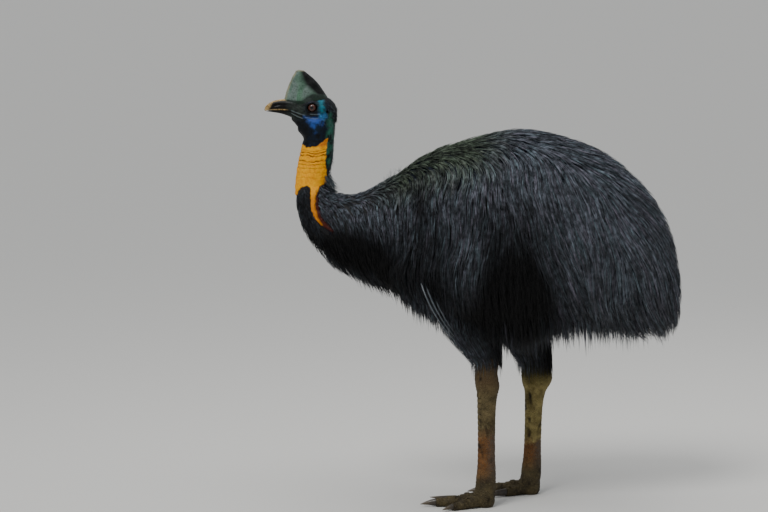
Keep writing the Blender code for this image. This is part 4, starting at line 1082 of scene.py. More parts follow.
def toe_frame(side, toe):
    """Root point and heading of a toe in the ground plane."""
    angle = math.radians(TOES[toe][0])
    heading = np.array((-math.cos(angle), -OUTWARD[side] * math.sin(angle), 0.0))
    return np.array((HEEL_X[side] - 0.004, LEG_Y[side], 0.0)), heading


TOE_START = 0.012
TOE_REACH = 0.014
# A toe's centre stands at this share of its half height, so that its sole is pressed flat
TOE_STANCE = 0.93
TOE_PADS = 3
PAD_SWELL = 0.09
ROOT_SWELL = 0.25
ROOT_LIFT = 0.004


def toe_row(side, toe, share):
    """A toe's centre and half height at a share of its length, with three joint pads."""
    _, length, root_high, tip_high = TOES[toe]
    root, heading = toe_frame(side, toe)
    high = root_high + (tip_high - root_high) * share
    pads = PAD_SWELL * math.cos(share * TOE_PADS * 2 * math.pi)
    high *= 1.0 + pads + ROOT_SWELL * (1 - share) ** 3
    middle = root + heading * (TOE_START + (length + TOE_REACH - TOE_START) * share)
    middle[2] = high * TOE_STANCE + ROOT_LIFT * (1 - share) ** 2
    return middle, high


def leg_forms():
    """Both shanks, feet and toes, as crossing closed forms."""
    bm = bmesh.new()
    for side in SIDES:
        loft_into(bm, shank_rings(side))
        hub = []
        for z, behind, deep, wide in smooth_rows(FOOT, 20):
            centre = np.array((HEEL_X[side] + behind, LEG_Y[side], z))
            hub.append(level_ring(centre, deep, wide, 32))
        loft_into(bm, hub)
        for toe in TOES:
            _, heading = toe_frame(side, toe)
            across = np.cross((0, 0, 1), heading)
            rings = []
            for share in np.linspace(0, 1, 30):
                middle, high = toe_row(side, toe, share)
                rings.append(ellipse(middle, across * high * 1.06, np.array((0, 0, high)), 24))
            loft_into(bm, rings)
    return object_from("legs", bm)


def body_forms():
    """The trunk behind the neck and both drumsticks, all under the coat."""
    bm = bmesh.new()
    loft_into(bm, trunk_rings(np.linspace(0.12, 1.0, 60)))
    for side in SIDES:
        heights = np.linspace(DRUMSTICK[0][1], DRUMSTICK[-1][1], 14)
        centre, deep, wide = drumstick_section(side, heights, 0.15)
        loft_into(bm, [level_ring(c, d, w, 32) for c, d, w in zip(centre, deep, wide)])
    return object_from("body", bm)


# Skin above the first height is bare, and below the second horny; the head's marks end at the third
COAT_TOP_Z = 0.93
HORNY_BELOW_Z = 0.44
MARKS_ABOVE_Z = 0.7
# Markings stronger than this are bare wherever they lie
BARE_FROM = 0.02
SOCKET_GAP = 0.0003
NECK_VOXEL = 0.0014
LEG_VOXEL = 0.0024
BODY_VOXEL = 0.0080
FLESH_NODES = ["head", "neck_upper", "neck_lower", "neck_base", "torso", "rump"] + [
    f"{part}_{side}"
    for side in SIDES
    for part in ("drumstick", "shank", "foot", "toe_inner", "toe_middle", "toe_outer")
]


def make_skin(bare, covered, scaled):
    """One skin from bill to toes, fine where it is bare, and a copy of the legs' surface for their scales."""
    coarser = 1.0
    skin = softened(neck_forms(), NECK_VOXEL * coarser, 6)
    sculpt_neck(skin.data)
    legs = softened(leg_forms(), LEG_VOXEL * coarser, 4)
    feet = points_of(legs.data)
    feet[:, 2] = np.maximum(feet[:, 2], 0.0)
    move_points(legs.data, feet)
    leg_surface = legs.data.copy()
    body = softened(body_forms(), BODY_VOXEL, 4)
    skin = united(skin, [legs, body])
    sockets = [eye_ball("socket " + side, side, EYE_RADIUS + SOCKET_GAP) for side in SIDES]
    skin = united(skin, sockets, "DIFFERENCE")
    mesh = skin.data
    points = points_of(mesh)
    z = points[:, 2]
    marks = marks_at(points)
    for name, values in marks.items():
        store(mesh, name, values * (z > MARKS_ABOVE_Z))
    # Painted shade in the golden neck's creases, by their depth
    painted_crease_shade = np.clip(crease_depths(points) / DEEP_CREASE, 0, 1)
    store(mesh, "painted_crease_shade", painted_crease_shade * marks["gold"] * CREASE_SHADE)
    # Painted highlight on the face's ridges, weaker on the turquoise
    store(mesh, "ridge_highlight", fold_places(points)[1] * RIDGE_HIGHLIGHT * (1 - marks["turquoise"] * 0.5))
    # Dark skin, with painted shade in the grooves, mouth and ear and under the jaw
    store(mesh, "dark", dark_skin_and_painted_shade(points))
    bare_here = (z > COAT_TOP_Z) | (np.maximum(marks["gold"], marks["rust"]) > BARE_FROM)
    under = (z < COAT_TOP_Z) & ~bare_here & (z > HORNY_BELOW_Z)
    kinds = np.where(z < HORNY_BELOW_Z, 2, np.where(under, 1, 0)).astype(np.int32)
    settle(skin, "head_skin", bare, covered, scaled, replaces=FLESH_NODES)
    corners = np.empty(len(mesh.loops), np.int32)
    mesh.loops.foreach_get("vertex_index", corners)
    starts = np.empty(len(mesh.polygons), np.int32)
    mesh.polygons.foreach_get("loop_start", starts)
    mesh.polygons.foreach_set("material_index", kinds[corners[starts]])
    return skin, leg_surface


def dark_skin_and_painted_shade(points):
    """Blackish skin of the crown, the back of the head and round the eye, with painted shade in the grooves,
    mouth and ear and under the jaw.
    """
    back = within(points, CROWN, 0.004)
    round_eye = np.linalg.norm(points[:, [0, 2]] - EYE_AT[[0, 2]], axis=1)
    lids = rising(round_eye, 0.0170, -0.0022) * (np.abs(points[:, 1]) > LIDS_OUT)
    # Painted shade in the mouth's cut, the grooves, the ear's hollow and under the jaw
    mouth = bell(path_distance(points, GAPE), MOUTH_CUT[1]) * (points[:, 0] < MOUTH_END_X)
    grooves = fold_places(points)[0] * 0.8
    from_ear = np.linalg.norm(points[:, [0, 2]] - np.array(EAR_AT), axis=1)
    ear = bell(from_ear, EAR_SHADE_RADIUS, 4)
    under_jaw_shade = within(points, UNDER_JAW_SHADE, 0.006) * 0.6
    darkest = np.maximum.reduce([back * 0.85, lids, mouth * 0.9, grooves, ear, under_jaw_shade])
    return np.clip(darkest * (points[:, 2] > 1.0), 0, 1)


def eye_ball(name, side, radius, segments=48, rings=32):
    """A ball at an eye's place, its poles along the gaze."""
    bm = bmesh.new()
    bmesh.ops.create_uvsphere(bm, u_segments=segments, v_segments=rings, radius=radius)
    gaze = Vector(gaze_of(side)).to_track_quat("Z", "Y").to_matrix()
    centre = Vector(EYE_AT * (1.0, OUTWARD[side], 1.0))
    for vertex in bm.verts:
        vertex.co = gaze @ vertex.co + centre
    return object_from(name, bm)


def gaze_of(side):
    return unit(np.array((-0.08, OUTWARD[side], 0.02)))


def make_eye(side, material):
    """An eyeball; the rings of iris and pupil follow each point's distance off the gaze."""
    ball = eye_ball("eyeball_" + side, side, EYE_RADIUS)
    mesh = ball.data
    centre = EYE_AT * (1.0, OUTWARD[side], 1.0)
    rays = points_of(mesh) - centre
    gaze = gaze_of(side)
    ahead = rays @ gaze
    off = np.linalg.norm(rays - ahead[:, None] * gaze, axis=1)
    store(mesh, "off_axis", np.where(ahead > 0, off, 1.0))
    up = np.cross(gaze, (1.0, 0.0, 0.0))
    spin = np.arctan2(rays @ up, rays @ np.cross(up, gaze))
    store(mesh, "fibre", 0.5 + 0.3 * np.sin(spin * 24) + 0.2 * np.sin(spin * 11 + 1.0))
    settle(ball, "iris", material, replaces=["eye_" + side])


# Bill, casque, claws and quills


def bill_ring(x, top, bottom, wide, flat_edge, sides=44):
    """A bill section: round on its outer side and flat on the biting edge, finer towards that edge."""
    even = np.linspace(0, 1, sides)
    turn = math.pi * (even - 0.88 * np.sin(2 * math.pi * even) / (2 * math.pi))
    y = np.cos(turn) * wide
    z = np.sin(turn) ** 0.75 * (top - bottom)
    return np.column_stack((np.full(sides, x), y, bottom + z if flat_edge == "bottom" else top - z))


# The nostril's slit: half length, half height, depth, and its turn on the side view
NOSTRIL_SLIT = (0.0085, 0.0019, 0.0020)
NOSTRIL_TURN = ((0.97, 0.24), (-0.24, 0.97))
BILL_GROOVE_DEPTH = 0.0006
# The tip is worn pale in front of this X, which lies further back towards the ridge
WORN_TIP_X = -0.6590
WORN_TIP_SLANT = 0.014
BILL_ROOT_X = -0.622
WEAR_SWELLS = (0.15, 0.006)


def make_bill(name, node, stations, tip, flat_edge, material):
    """Half of the bill, worn along its edges; the upper half has the nostrils and a groove."""
    bm = bmesh.new()
    rings = [bill_ring(*row, flat_edge) for row in smooth_rows(stations, 56)]
    loft_into(bm, rings, last_pole=tip)
    bill = object_from(name, bm)
    mesh = bill.data
    points, normals = points_of(mesh), normals_of(mesh)
    rows = np.array(stations)[::-1]
    top = np.interp(points[:, 0], rows[:, 0], rows[:, 1])
    low = np.interp(points[:, 0], rows[:, 0], rows[:, 2])
    share = np.clip((points[:, 2] - low) / np.maximum(top - low, 1e-4), 0, 1)
    x = points[:, 0]
    if flat_edge == "bottom":
        half_long, half_high, deep = NOSTRIL_SLIT
        slot = (points[:, [0, 2]] - np.array(NOSTRIL)) @ np.array(NOSTRIL_TURN).T
        sunk = np.exp(-((slot[:, 0] / half_long) ** 4) - (slot[:, 1] / half_high) ** 2)
        groove = bell(share - 0.48, 0.10) * rising(x, -0.665, 0.02)
        move_points(mesh, points - normals * (deep * sunk + BILL_GROOVE_DEPTH * groove)[:, None])
        worn = np.maximum(rising(share, 0.86, 0.06), rising(share, 0.12, -0.04) * 0.75)
        worn = np.clip(worn - sunk, 0, 1)
        worn = np.maximum(worn, rising(x, WORN_TIP_X + WORN_TIP_SLANT * (share - 0.5), -0.0120))
    else:
        worn = rising(share, 0.93, 0.05) * rising(x, -0.630, -0.02) * 0.4
    store(mesh, "worn", worn * (0.85 + waves(points, WEAR_SWELLS, 6)))
    store(mesh, "root", rising(x, BILL_ROOT_X, 0.012) * (share < 0.86))
    settle(bill, "bill_horn", material, replaces=[node])


# Casque: how its section swells and closes, its dents, and where its worn ridge and dark foot lie
CASQUE_SPACING = 1.15
CASQUE_FULLNESS = 0.9
CASQUE_REAR_POWER = 2.6
CASQUE_NOSE = 0.03
BROAD_DENTS = (0.0006, 0.035)
FINE_DENTS = (0.0002, 0.010)
FOOT_BAND_EDGE = 0.003
RIDGE_WIDTH = 0.0036
RIDGE_WEAR = (0.3, 0.018)
RIDGE_NOTCH_BREADTH = 0.014
PEAK_WEAR_Z = 1.2525


def make_casque(material):
    """The helmet of horn: a tall keel with flat sides, a thin front ridge and a blunt back."""
    bm = bmesh.new()
    half = 30
    rings = []
    for z, front, back, ridge, wide in smooth_rows(CASQUE, 56):
        share = np.linspace(0, 1, half) ** CASQUE_SPACING
        rise = np.clip(share / CASQUE_WIDEST, 0, 1)
        fall = np.clip((share - CASQUE_WIDEST) / (1 - CASQUE_WIDEST), 0, 1)
        swell = rise**CASQUE_FULLNESS
        y = (ridge + (wide - ridge) * swell) * np.sqrt(1 - fall**CASQUE_REAR_POWER)
        y *= np.sqrt(np.clip(share / CASQUE_NOSE, 0, 1))
        y[-1] = 0.0
        right = np.column_stack((front + (back - front) * share, y, np.full(half, z)))
        rings.append(np.vstack((right, right[1:-1][::-1] * np.array((1.0, -1.0, 1.0)))))
    loft_into(bm, rings, last_pole=CASQUE_PEAK)
    casque = object_from("casque_horn", bm)
    mesh = casque.data
    points, normals = points_of(mesh), normals_of(mesh)
    dents = waves(points, BROAD_DENTS, 7) + waves(points, FINE_DENTS, 8)
    move_points(mesh, points + normals * dents[:, None])
    foot_line = by_table(CASQUE_FOOT, points[:, 0])
    foot_band = np.clip((foot_line - points[:, 2]) / FOOT_BAND_EDGE + 0.5, 0, 1)
    low_rear = rising(points[:, 0], -0.5370, 0.006) * 0.60
    store(mesh, "rear", np.maximum.reduce([within(points, CASQUE_REAR, 0.0060), foot_band * 0.8, low_rear]))
    heights = [row[0] for row in CASQUE]
    front = np.interp(points[:, 2], heights, [row[1] for row in CASQUE])
    ridge = np.clip(1.9 - (points[:, 0] - front) / RIDGE_WIDTH, 0, 1)
    wear, breadth = RIDGE_WEAR
    ridge *= 1.0 - wear + wear * np.clip(ripple(points, breadth, SEED + 15), -1, 1)
    gaps = np.clip(ripple(points, RIDGE_NOTCH_BREADTH, SEED + 16) - 0.6, 0, 1)
    notch = gaps * rising(points[:, 2], 1.225, 0.01)
    ridge = np.clip(ridge - notch, 0, 1)
    store(mesh, "ridge", np.maximum(ridge, rising(points[:, 2], PEAK_WEAR_Z, 0.004) * 0.6))
    settle(casque, "casque_horn", material, replaces=["casque"])


# Claws: where they start past the toe's length, how far they sit in its end, and their form
CLAW_START = 0.006
CLAW_SUNK = 0.008
CLAW_TAPER = 1.4
CLAW_TIP_RADIUS = 0.0006
CLAW_LIFT = 0.0015
CLAW_CLEAR = 0.0002
CLAW_TIP_Z = 0.0012
CLAW_FLATNESS = 0.82


def make_claw(side, toe, material):
    """A claw on the end of its toe: long and nearly straight on the inner toe, stout on the others."""
    root, heading = toe_frame(side, toe)
    toe_length, tip_high = TOES[toe][1], TOES[toe][3]
    stands = tip_high * TOE_STANCE + CLAW_LIFT
    length, high, fall = CLAWS[toe]
    across = np.cross((0, 0, 1), heading)
    rings = []
    for share in np.linspace(0.0, 0.97, 26):
        size = high * (1 - share**CLAW_TAPER) + CLAW_TIP_RADIUS
        middle = root + heading * (toe_length + CLAW_START + (length + CLAW_SUNK) * share)
        middle[2] = max(stands - fall * share**2, size + CLAW_CLEAR)
        rings.append(ellipse(middle, across * size * CLAW_FLATNESS, np.array((0, 0, size)), 20))
    tip = root + heading * (toe_length + TOE_REACH + length)
    tip[2] = max(stands - fall, CLAW_TIP_Z)
    bm = bmesh.new()
    loft_into(bm, rings, last_pole=tip)
    claw = object_from(f"claw_horn_{toe}_{side}", bm)
    along = (points_of(claw.data) - root) @ heading - toe_length
    store(claw.data, "part", np.clip(along / length, 0, 1) ** 2)
    settle(claw, "claw_horn", material, replaces=[f"claw_{toe}_{side}"])


def arc_points(root, middle, tip, count):
    """Points on the curve that passes through three places."""
    root, middle, tip = (np.array(p, float) for p in (root, middle, tip))
    bend = 2 * middle - (root + tip) / 2
    t = np.linspace(0, 1, count)[:, None]
    return root * (1 - t) ** 2 + bend * 2 * t * (1 - t) + tip * t**2


def make_wing(side, material, under):
    """The stub of a wing, hidden in the coat, with its five bare quills."""
    flip = np.array((1.0, OUTWARD[side], 1.0))
    bm = bmesh.new()
    stub = []
    for x, out, z, deep, thick in smooth_rows(WING_STUB, 20):
        centre = np.array((x, out - STUB_SUNK, z)) * flip
        stub.append(level_ring(centre, deep, thick, 24))
    loft_into(bm, stub)
    of_stub = len(bm.faces)
    first = np.array((QUILL_ROOT, QUILL_MIDDLE, QUILL_TIP))
    for i in range(QUILLS):
        path = arc_points(*(first + np.array(QUILL_STEPS) * i), 24) * flip
        path[:, 1] -= OUTWARD[side] * STUB_SUNK * np.linspace(1, 0, len(path)) ** 4
        heading = unit(np.gradient(path, axis=0))
        beside = unit(np.cross(heading, (0.0, 1.0, 0.0)))
        radii = np.linspace(QUILL_RADIUS, QUILL_RADIUS * 0.3, len(path))
        rings = [
            ellipse(p, b * r, np.cross(h, b) * r, 12) for p, h, b, r in zip(path, heading, beside, radii)
        ]
        loft_into(bm, rings)
    for number, face in enumerate(bm.faces):
        face.material_index = int(number < of_stub)
    wing = object_from("wing_quills_" + side, bm)
    settle(wing, "quill", material, under, replaces=["wing_" + side])


# Scales and scutes


def node_tree(name, sockets):
    """An empty Geometry Nodes tree with named inputs and one geometry output."""
    tree = bpy.data.node_groups.new(name, "GeometryNodeTree")
    for label, kind in sockets:
        tree.interface.new_socket(label, in_out="INPUT", socket_type="NodeSocket" + kind)
    tree.interface.new_socket("Geometry", in_out="OUTPUT", socket_type="NodeSocketGeometry")
    return tree, add(tree, "NodeGroupInput").outputs


def finish_tree(tree, instances, material):
    """Ends a tree: instances made real, with their material."""
    real = add(tree, "GeometryNodeRealizeInstances", {"Geometry": instances}).outputs[0]
    dressed = add(tree, "GeometryNodeSetMaterial", {"Geometry": real, "Material": material}).outputs[0]
    add(tree, "NodeGroupOutput", {"Geometry": dressed})
    return tree


def scale_tree():
    """Small flat horny scales strewn over a surface, evenly but not in rows."""
    tree, given = node_tree("leg scales", [
        ("Geometry", "Geometry"), ("Spacing", "Float"), ("Scale Radius", "Float"), ("Flatness", "Float"),
        ("Seed", "Int"), ("Material", "Material"),
    ])
    spread = add(tree, "GeometryNodeDistributePointsOnFaces", {
        "Mesh": given["Geometry"], "Distance Min": given["Spacing"], "Density Max": 60000.0,
        "Seed": given["Seed"],
    }, distribute_method="POISSON").outputs
    bead = add(tree, "GeometryNodeMeshIcoSphere", {"Radius": given["Scale Radius"], "Subdivisions": 1})
    flat = add(tree, "ShaderNodeCombineXYZ", {0: 1.0, 1: 1.0, 2: given["Flatness"]}).outputs[0]
    scale = add(tree, "GeometryNodeTransform", {"Geometry": bead.outputs["Mesh"], "Scale": flat})
    size = add(tree, "FunctionNodeRandomValue", {2: 0.75, 3: 1.2, 8: given["Seed"]}).outputs[1]
    placed = add(tree, "GeometryNodeInstanceOnPoints", {
        "Points": spread["Points"], "Instance": scale.outputs["Geometry"], "Rotation": spread["Rotation"],
        "Scale": size,
    })
    return finish_tree(tree, placed.outputs["Instances"], given["Material"])


def scute_tree():
    """A broad curved plate at each point, turned and sized by the point's own values."""
    tree, given = node_tree("leg scutes", [
        ("Geometry", "Geometry"), ("Bend", "Float"), ("Edge Thinning", "Float"), ("Material", "Material"),
    ])
    corners = {"Vertices X": 7, "Vertices Y": 4, "Vertices Z": 2}
    block = add(tree, "GeometryNodeMeshCube", corners).outputs["Mesh"]
    place = add(tree, "GeometryNodeInputPosition").outputs[0]
    x, y, z = add(tree, "ShaderNodeSeparateXYZ", {0: place}).outputs

    def worked(operation, *values):
        return add(tree, "ShaderNodeMath", dict(enumerate(values)), operation=operation).outputs[0]

    from_middle = worked("MULTIPLY", worked("MULTIPLY", x, x), 4.0)
    from_centre = worked("MULTIPLY", worked("MULTIPLY", y, y), 4.0)
    edge = worked("MAXIMUM", from_middle, from_centre)
    kept = worked("SUBTRACT", 1.0, worked("MULTIPLY", edge, given["Edge Thinning"]))
    bent = worked("SUBTRACT", worked("MULTIPLY", z, kept), worked("MULTIPLY", from_middle, given["Bend"]))
    target = add(tree, "ShaderNodeCombineXYZ", {0: x, 1: y, 2: bent}).outputs[0]
    plate = add(tree, "GeometryNodeSetPosition", {"Geometry": block, "Position": target}).outputs[0]
    turn, size = (
        add(tree, "GeometryNodeInputNamedAttribute", {"Name": name}, data_type="FLOAT_VECTOR").outputs[0]
        for name in ("turn", "size")
    )
    rotation = add(tree, "FunctionNodeEulerToRotation", {0: turn}).outputs[0]
    placed = add(tree, "GeometryNodeInstanceOnPoints", {
        "Points": given["Geometry"], "Instance": plate, "Rotation": rotation, "Scale": size,
    })
    return finish_tree(tree, placed.outputs["Instances"], given["Material"])


def grown(carrier, tree, values):
    """The plain mesh that a tree grows on a carrier, with its inputs set by name."""
    modifier = carrier.modifiers.new(tree.name, "NODES")
    modifier.node_group = tree
    for socket in tree.interface.items_tree:
        if socket.in_out == "INPUT" and socket.name in values:
            modifier[socket.identifier] = values[socket.name]
    return baked(carrier)


SCALE_SPACING = 0.0046
SCALE_RADIUS = 0.0026
SHANK_SCUTES = 16
SHANK_SCUTE_Z = (0.088, 0.330)
TOE_SCUTES = {"inner": 5, "middle": 9, "outer": 7}
SHANK_SCUTE_THICK = 0.0034
TOE_SCUTE_THICK = 0.0022
SCALE_FLATNESS = 0.38
# Faces without small scales: a shank's front up to these margins past its plates, a toe's top, and
# whatever lies under the coat or on the sole
PLATED_MARGINS = (0.008, 0.006)
PLATED_FACING = -0.62
TOE_TOP_Z = 0.045
TOE_TOP_FACING = 0.72
TOE_TOP_AHEAD = 0.020
SCALES_BELOW = 0.004
SOLE_Z = 0.003


def make_scales(side, leg_surface, tree, material):
    """Small scales over the sides and back of a leg, its foot and its toes."""
    bm = bmesh.new()
    bm.from_mesh(leg_surface)
    bm.normal_update()
    dropped = []
    low = SHANK_SCUTE_Z[0] - PLATED_MARGINS[0]
    high = leg_height(side, SHANK_SCUTE_Z[1]) + PLATED_MARGINS[1]
    toes_end = HEEL_X[side] - TOE_TOP_AHEAD
    for face in bm.faces:
        middle, facing = face.calc_center_median(), face.normal
        plated = low < middle.z < high and facing.x < PLATED_FACING
        on_toe = middle.z < TOE_TOP_Z and facing.z > TOE_TOP_FACING and middle.x < toes_end
        covered = middle.z > ANKLE_TOP_Z - SCALES_BELOW or middle.z < SOLE_Z
        if plated or on_toe or covered or middle.y * OUTWARD[side] < 0:
            dropped.append(face)
    bmesh.ops.delete(bm, geom=dropped, context="FACES")
    carrier = object_from(f"leg_scales_{side}", bm)
    scales = grown(carrier, tree, {
        "Spacing": SCALE_SPACING, "Scale Radius": SCALE_RADIUS, "Flatness": SCALE_FLATNESS,
        "Seed": SEED, "Material": material,
    })
    settle(scales, "leg_scales", material)


def make_scutes(side, tree, material):
    """Broad plates down the front of a shank and over the tops of its toes."""
    places, turns, sizes = [], [], []

    def plate(centre, across, facing, wide, long, thick):
        down = np.cross(facing, across)
        places.append(centre)
        turns.append(Matrix((across, down, facing)).transposed().to_euler())
        sizes.append((wide, long, thick))

    table = smooth_rows(SHANK, 200)
    heights = np.linspace(*SHANK_SCUTE_Z, SHANK_SCUTES)
    for z in heights:
        _, behind, deep, wide = table[np.abs(table[:, 0] - z).argmin()]
        share = (z - FOOT_Z) / (ANKLE_TOP_Z - FOOT_Z)
        x = HEEL_X[side] + (ANKLE_X[side] - HEEL_X[side]) * share + behind - deep
        facing = unit(np.array((-1.0, 0.0, 0.10)))
        centre = (x + 0.0002, LEG_Y[side], float(leg_height(side, z)))
        long = 1.14 * (heights[1] - heights[0])
        plate(centre, np.array((0.0, 1.0, 0.0)), facing, wide * 1.55, long, SHANK_SCUTE_THICK)
    for toe, count in TOE_SCUTES.items():
        _, heading = toe_frame(side, toe)
        across = np.cross((0, 0, 1), heading)
        shares = np.linspace(0.12, 0.90, count)
        step = TOES[toe][1] * (shares[1] - shares[0])
        for share in shares:
            middle, high = toe_row(side, toe, share)
            facing = unit(np.array((0.0, 0.0, 1.0)) + heading * 0.08)
            top = middle + np.array((0, 0, high - 0.0003))
            plate(top, across, facing, high * 1.5, step * 1.12, TOE_SCUTE_THICK)
    mesh = bpy.data.meshes.new(f"leg_scutes_{side}")
    mesh.from_pydata(places, [], [])
    for name, values in (("turn", turns), ("size", sizes)):
        layer = mesh.attributes.new(name, "FLOAT_VECTOR", "POINT")
        layer.data.foreach_set("vector", np.array(values, np.float32).ravel())
    scutes = grown(shown(mesh.name, mesh), tree, {"Bend": 2.6, "Edge Thinning": 0.6, "Material": material})
    settle(scutes, "leg_scales", material)


# Coat

# Where the coat's lie leans backwards, for each metre it falls, at stations along the body
LEAN = [
    (-0.55, 0.60), (-0.45, 0.50), (-0.36, 0.25), (-0.26, -0.06), (-0.15, -0.04), (0.00, 0.06), (0.15, 0.28),
    (0.29, 0.45), (0.50, 0.50),
]
# On the crest of the back it leans further
CREST_LEAN = [(-0.50, 0.6), (-0.36, 1.2), (-0.15, 1.3), (0.10, 0.8), (0.40, 0.8)]
# Slow swells in the lie, backwards and aside, and in how black it is: strength and breadth
LEAN_SWELLS = (0.16, 0.19)
ASIDE_SWELLS = (0.07, 0.12)
GLOOM_SWELLS = (0.10, 0.09)
STEPS = 28
# A clump starts this share under the skin and rises by this power
ROOTS_SUNK = 0.08
RISE_POWER = 2.6
SWAY = 0.08
# From here along the trunk the belly's clumps hang free from their roots, those lower than this
BELLY_FROM = 0.34
BELLY_LOW = -0.72
# The others hang free once they pass this low, or come to the rump's end; their weight bends them
HEM_FROM = 0.25
HEM_LOW = -0.88
RUMP_END = 0.985
WEIGHT = 1.6
# Spread of the hem, and the shortest share of its course that a strand keeps
HEM_SPREAD = 0.021
SHORTEST_REACH = 0.12
# A strand's width by share of its length
TAPER = [(0, 0.75), (0.25, 1.0), (0.7, 0.8), (1, 0.25)]
# By place along the trunk: the strands' length, greatest width, and how far a clump spreads
LENGTHS = [
    (0.0, 0.018), (0.1, 0.028), (0.22, 0.052), (0.33, 0.085), (0.45, 0.120), (0.7, 0.150), (1.0, 0.175),
]
WIDTHS = [(0.00, 0.0010), (0.15, 0.0012), (0.33, 0.0015), (0.60, 0.0017), (1.00, 0.0018)]
SPREADS = [(0.00, 0.0024), (0.25, 0.0042), (0.50, 0.0062), (1.00, 0.0075)]
# Strands are shorter towards the crest of the back
CREST_SHORTENING = [(0.00, 1.0), (0.60, 0.80), (0.95, 0.55)]
# Regions of the coat: name, first and last place along the trunk, clumps (on each side where it is
# parted), strands in each, rings of a strand with its tip, and whether it is parted into two pieces
REGIONS = [
    ("feathers_neck", 0.00, 0.14, 1700, 4, 4, False),
    ("feathers_neck_base", 0.14, 0.30, 2100, 4, 4, False),
    ("feathers_shoulder", 0.30, 0.45, 1600, 4, 4, True),
    ("feathers_flank", 0.45, 0.58, 2000, 4, 4, True),
    ("feathers_saddle", 0.58, 0.72, 2100, 4, 4, True),
    ("feathers_rump", 0.72, 0.86, 1550, 4, 5, True),
    ("feathers_train", 0.86, 1.00, 950, 4, 5, True),
]
RUMP_FROM = 0.72
ROLL = 0.35
# Ranges of chance: a clump's length against the table's, and how near the coat's face it ends
CLUMP_LENGTHS = (0.75, 1.25)
CLUMP_TOPS = (0.72, 1.0)
# At which shares of its clump a strand starts and ends, and how wide it is against the table
STRAND_STARTS = (-0.06, 0.12)
STRAND_ENDS = (0.60, 1.0)
STRAND_WIDTHS = (0.7, 1.3)
STRAY_SHARE = 0.03
# A clump closes up by this share towards its tip; its strands wave by this height, and stand aside
# and off it by these shares of its spread
CLOSING = 0.65
WAVE_HEIGHT = 0.0016
WAVE_SPEEDS = (3, 7)
ASIDE_SHARE = 0.5
LIFT_SHARE = 0.12
# How much of a strand's tone is its clump's, and how much its own
CLUMP_TONE = 0.60
OWN_TONE = 0.40
# Feathers rooted in gold skin, crossing it, or crossing its red edge are left out past these
GOLD_AT_ROOT = 0.3
GOLD_ALONG = 0.5
RUST_ALONG = 0.38
# The green of the back: how high round the trunk it starts, and over what rise, its strength, and its
# stretch along X
CREST_FROM = 0.62
CREST_SPAN = 0.28
CREST_STRENGTH = 0.75
CREST_ALONG = [(-0.40, 0), (-0.30, 1), (-0.10, 1), (0.02, 0)]
BAKE_PATCH = 0.003
# The belly's hem hangs lower between the legs: X, half length and drop
BELLY_FRINGE = (0.0400, 0.0900, 0.0400)
# Painted shade and painted light on the plumage, where it lies in shade or catches the light: X, Z, half
# length, half height, change (positive blacker, negative paler)
PAINTED_SHADE_AND_LIGHT = [
    (-0.2350, 0.8700, 0.0200, 0.1300, 0.70),
    (-0.1900, 0.7000, 0.0400, 0.1100, 0.55),
    (0.0100, 0.7300, 0.0850, 0.1500, 0.75),
    (-0.0300, 0.5600, 0.1700, 0.1200, 1.00),
    (0.0900, 0.6200, 0.0700, 0.1300, 0.85),
    (-0.4300, 0.7300, 0.1500, 0.0800, 0.95),
    (-0.5650, 0.8500, 0.0350, 0.1000, 0.85),
    (-0.3000, 0.6500, 0.1000, 0.0800, 0.75),
    (-0.4500, 0.7600, 0.1000, 0.0450, 0.60),
    (0.3300, 0.5300, 0.2200, 0.0600, 0.35),
    (-0.0800, 0.9600, 0.1100, 0.0500, -0.45),
    (-0.1250, 0.8800, 0.0500, 0.0300, -0.40),
    (-0.0950, 0.7300, 0.0260, 0.0900, -0.45),
    (0.3000, 0.7900, 0.1600, 0.1600, -0.40),
    (0.1500, 0.9800, 0.2000, 0.0700, -0.30),
    (-0.3700, 0.8300, 0.0700, 0.0600, -0.25),
]


def lie(point, normal, turn):
    """Unit directions in which the coat lies: down, leaning back, more so on the crest."""
    lean = by_table(LEAN, point[:, 0])
    crest = np.clip((np.sin(turn) - 0.55) / 0.4, 0, 1) ** 1.3
    lean = lean + crest * by_table(CREST_LEAN, point[:, 0])
    lean = lean + waves(point, LEAN_SWELLS, 11)
    aside = waves(point, ASIDE_SWELLS, 12)
    flow = np.column_stack((lean, aside, -np.ones(len(lean))))
    return unit(flow - normal * (flow * normal).sum(axis=1, keepdims=True))


def trunk_frame(along, turn, share):
    """Points over the trunk with their slopes along and round it, and their normals."""
    step = 2e-3
    ahead, behind = np.clip(along + step, 0, 1), np.clip(along - step, 0, 1)
    point = trunk_points(along, turn, share)
    slope_along = trunk_points(ahead, turn, share) - trunk_points(behind, turn, share)
    slope_along /= (ahead - behind)[:, None]
    slope_turn = trunk_points(along, turn + step, share) - trunk_points(along, turn - step, share)
    slope_turn /= 2 * step
    normal = unit(np.cross(slope_turn, slope_along))
    outward = point - trunk_points(along, turn, share - 0.5)
    return point, slope_along, slope_turn, normal * np.sign((normal * outward).sum(axis=1, keepdims=True))


def sample_trunk(count, first, last, draw):
    """Roots spread evenly over a stretch of the trunk: place along it and angle round it."""
    many = count * 12
    along, turn = draw.uniform(first, last, many), draw.uniform(0, 2 * math.pi, many)
    _, slope_a, slope_t, _ = trunk_frame(along, turn, np.full(many, 0.6))
    area = np.linalg.norm(np.cross(slope_a, slope_t), axis=1)
    chosen = draw.choice(many, count, replace=False, p=area / area.sum())
    return along[chosen], turn[chosen]


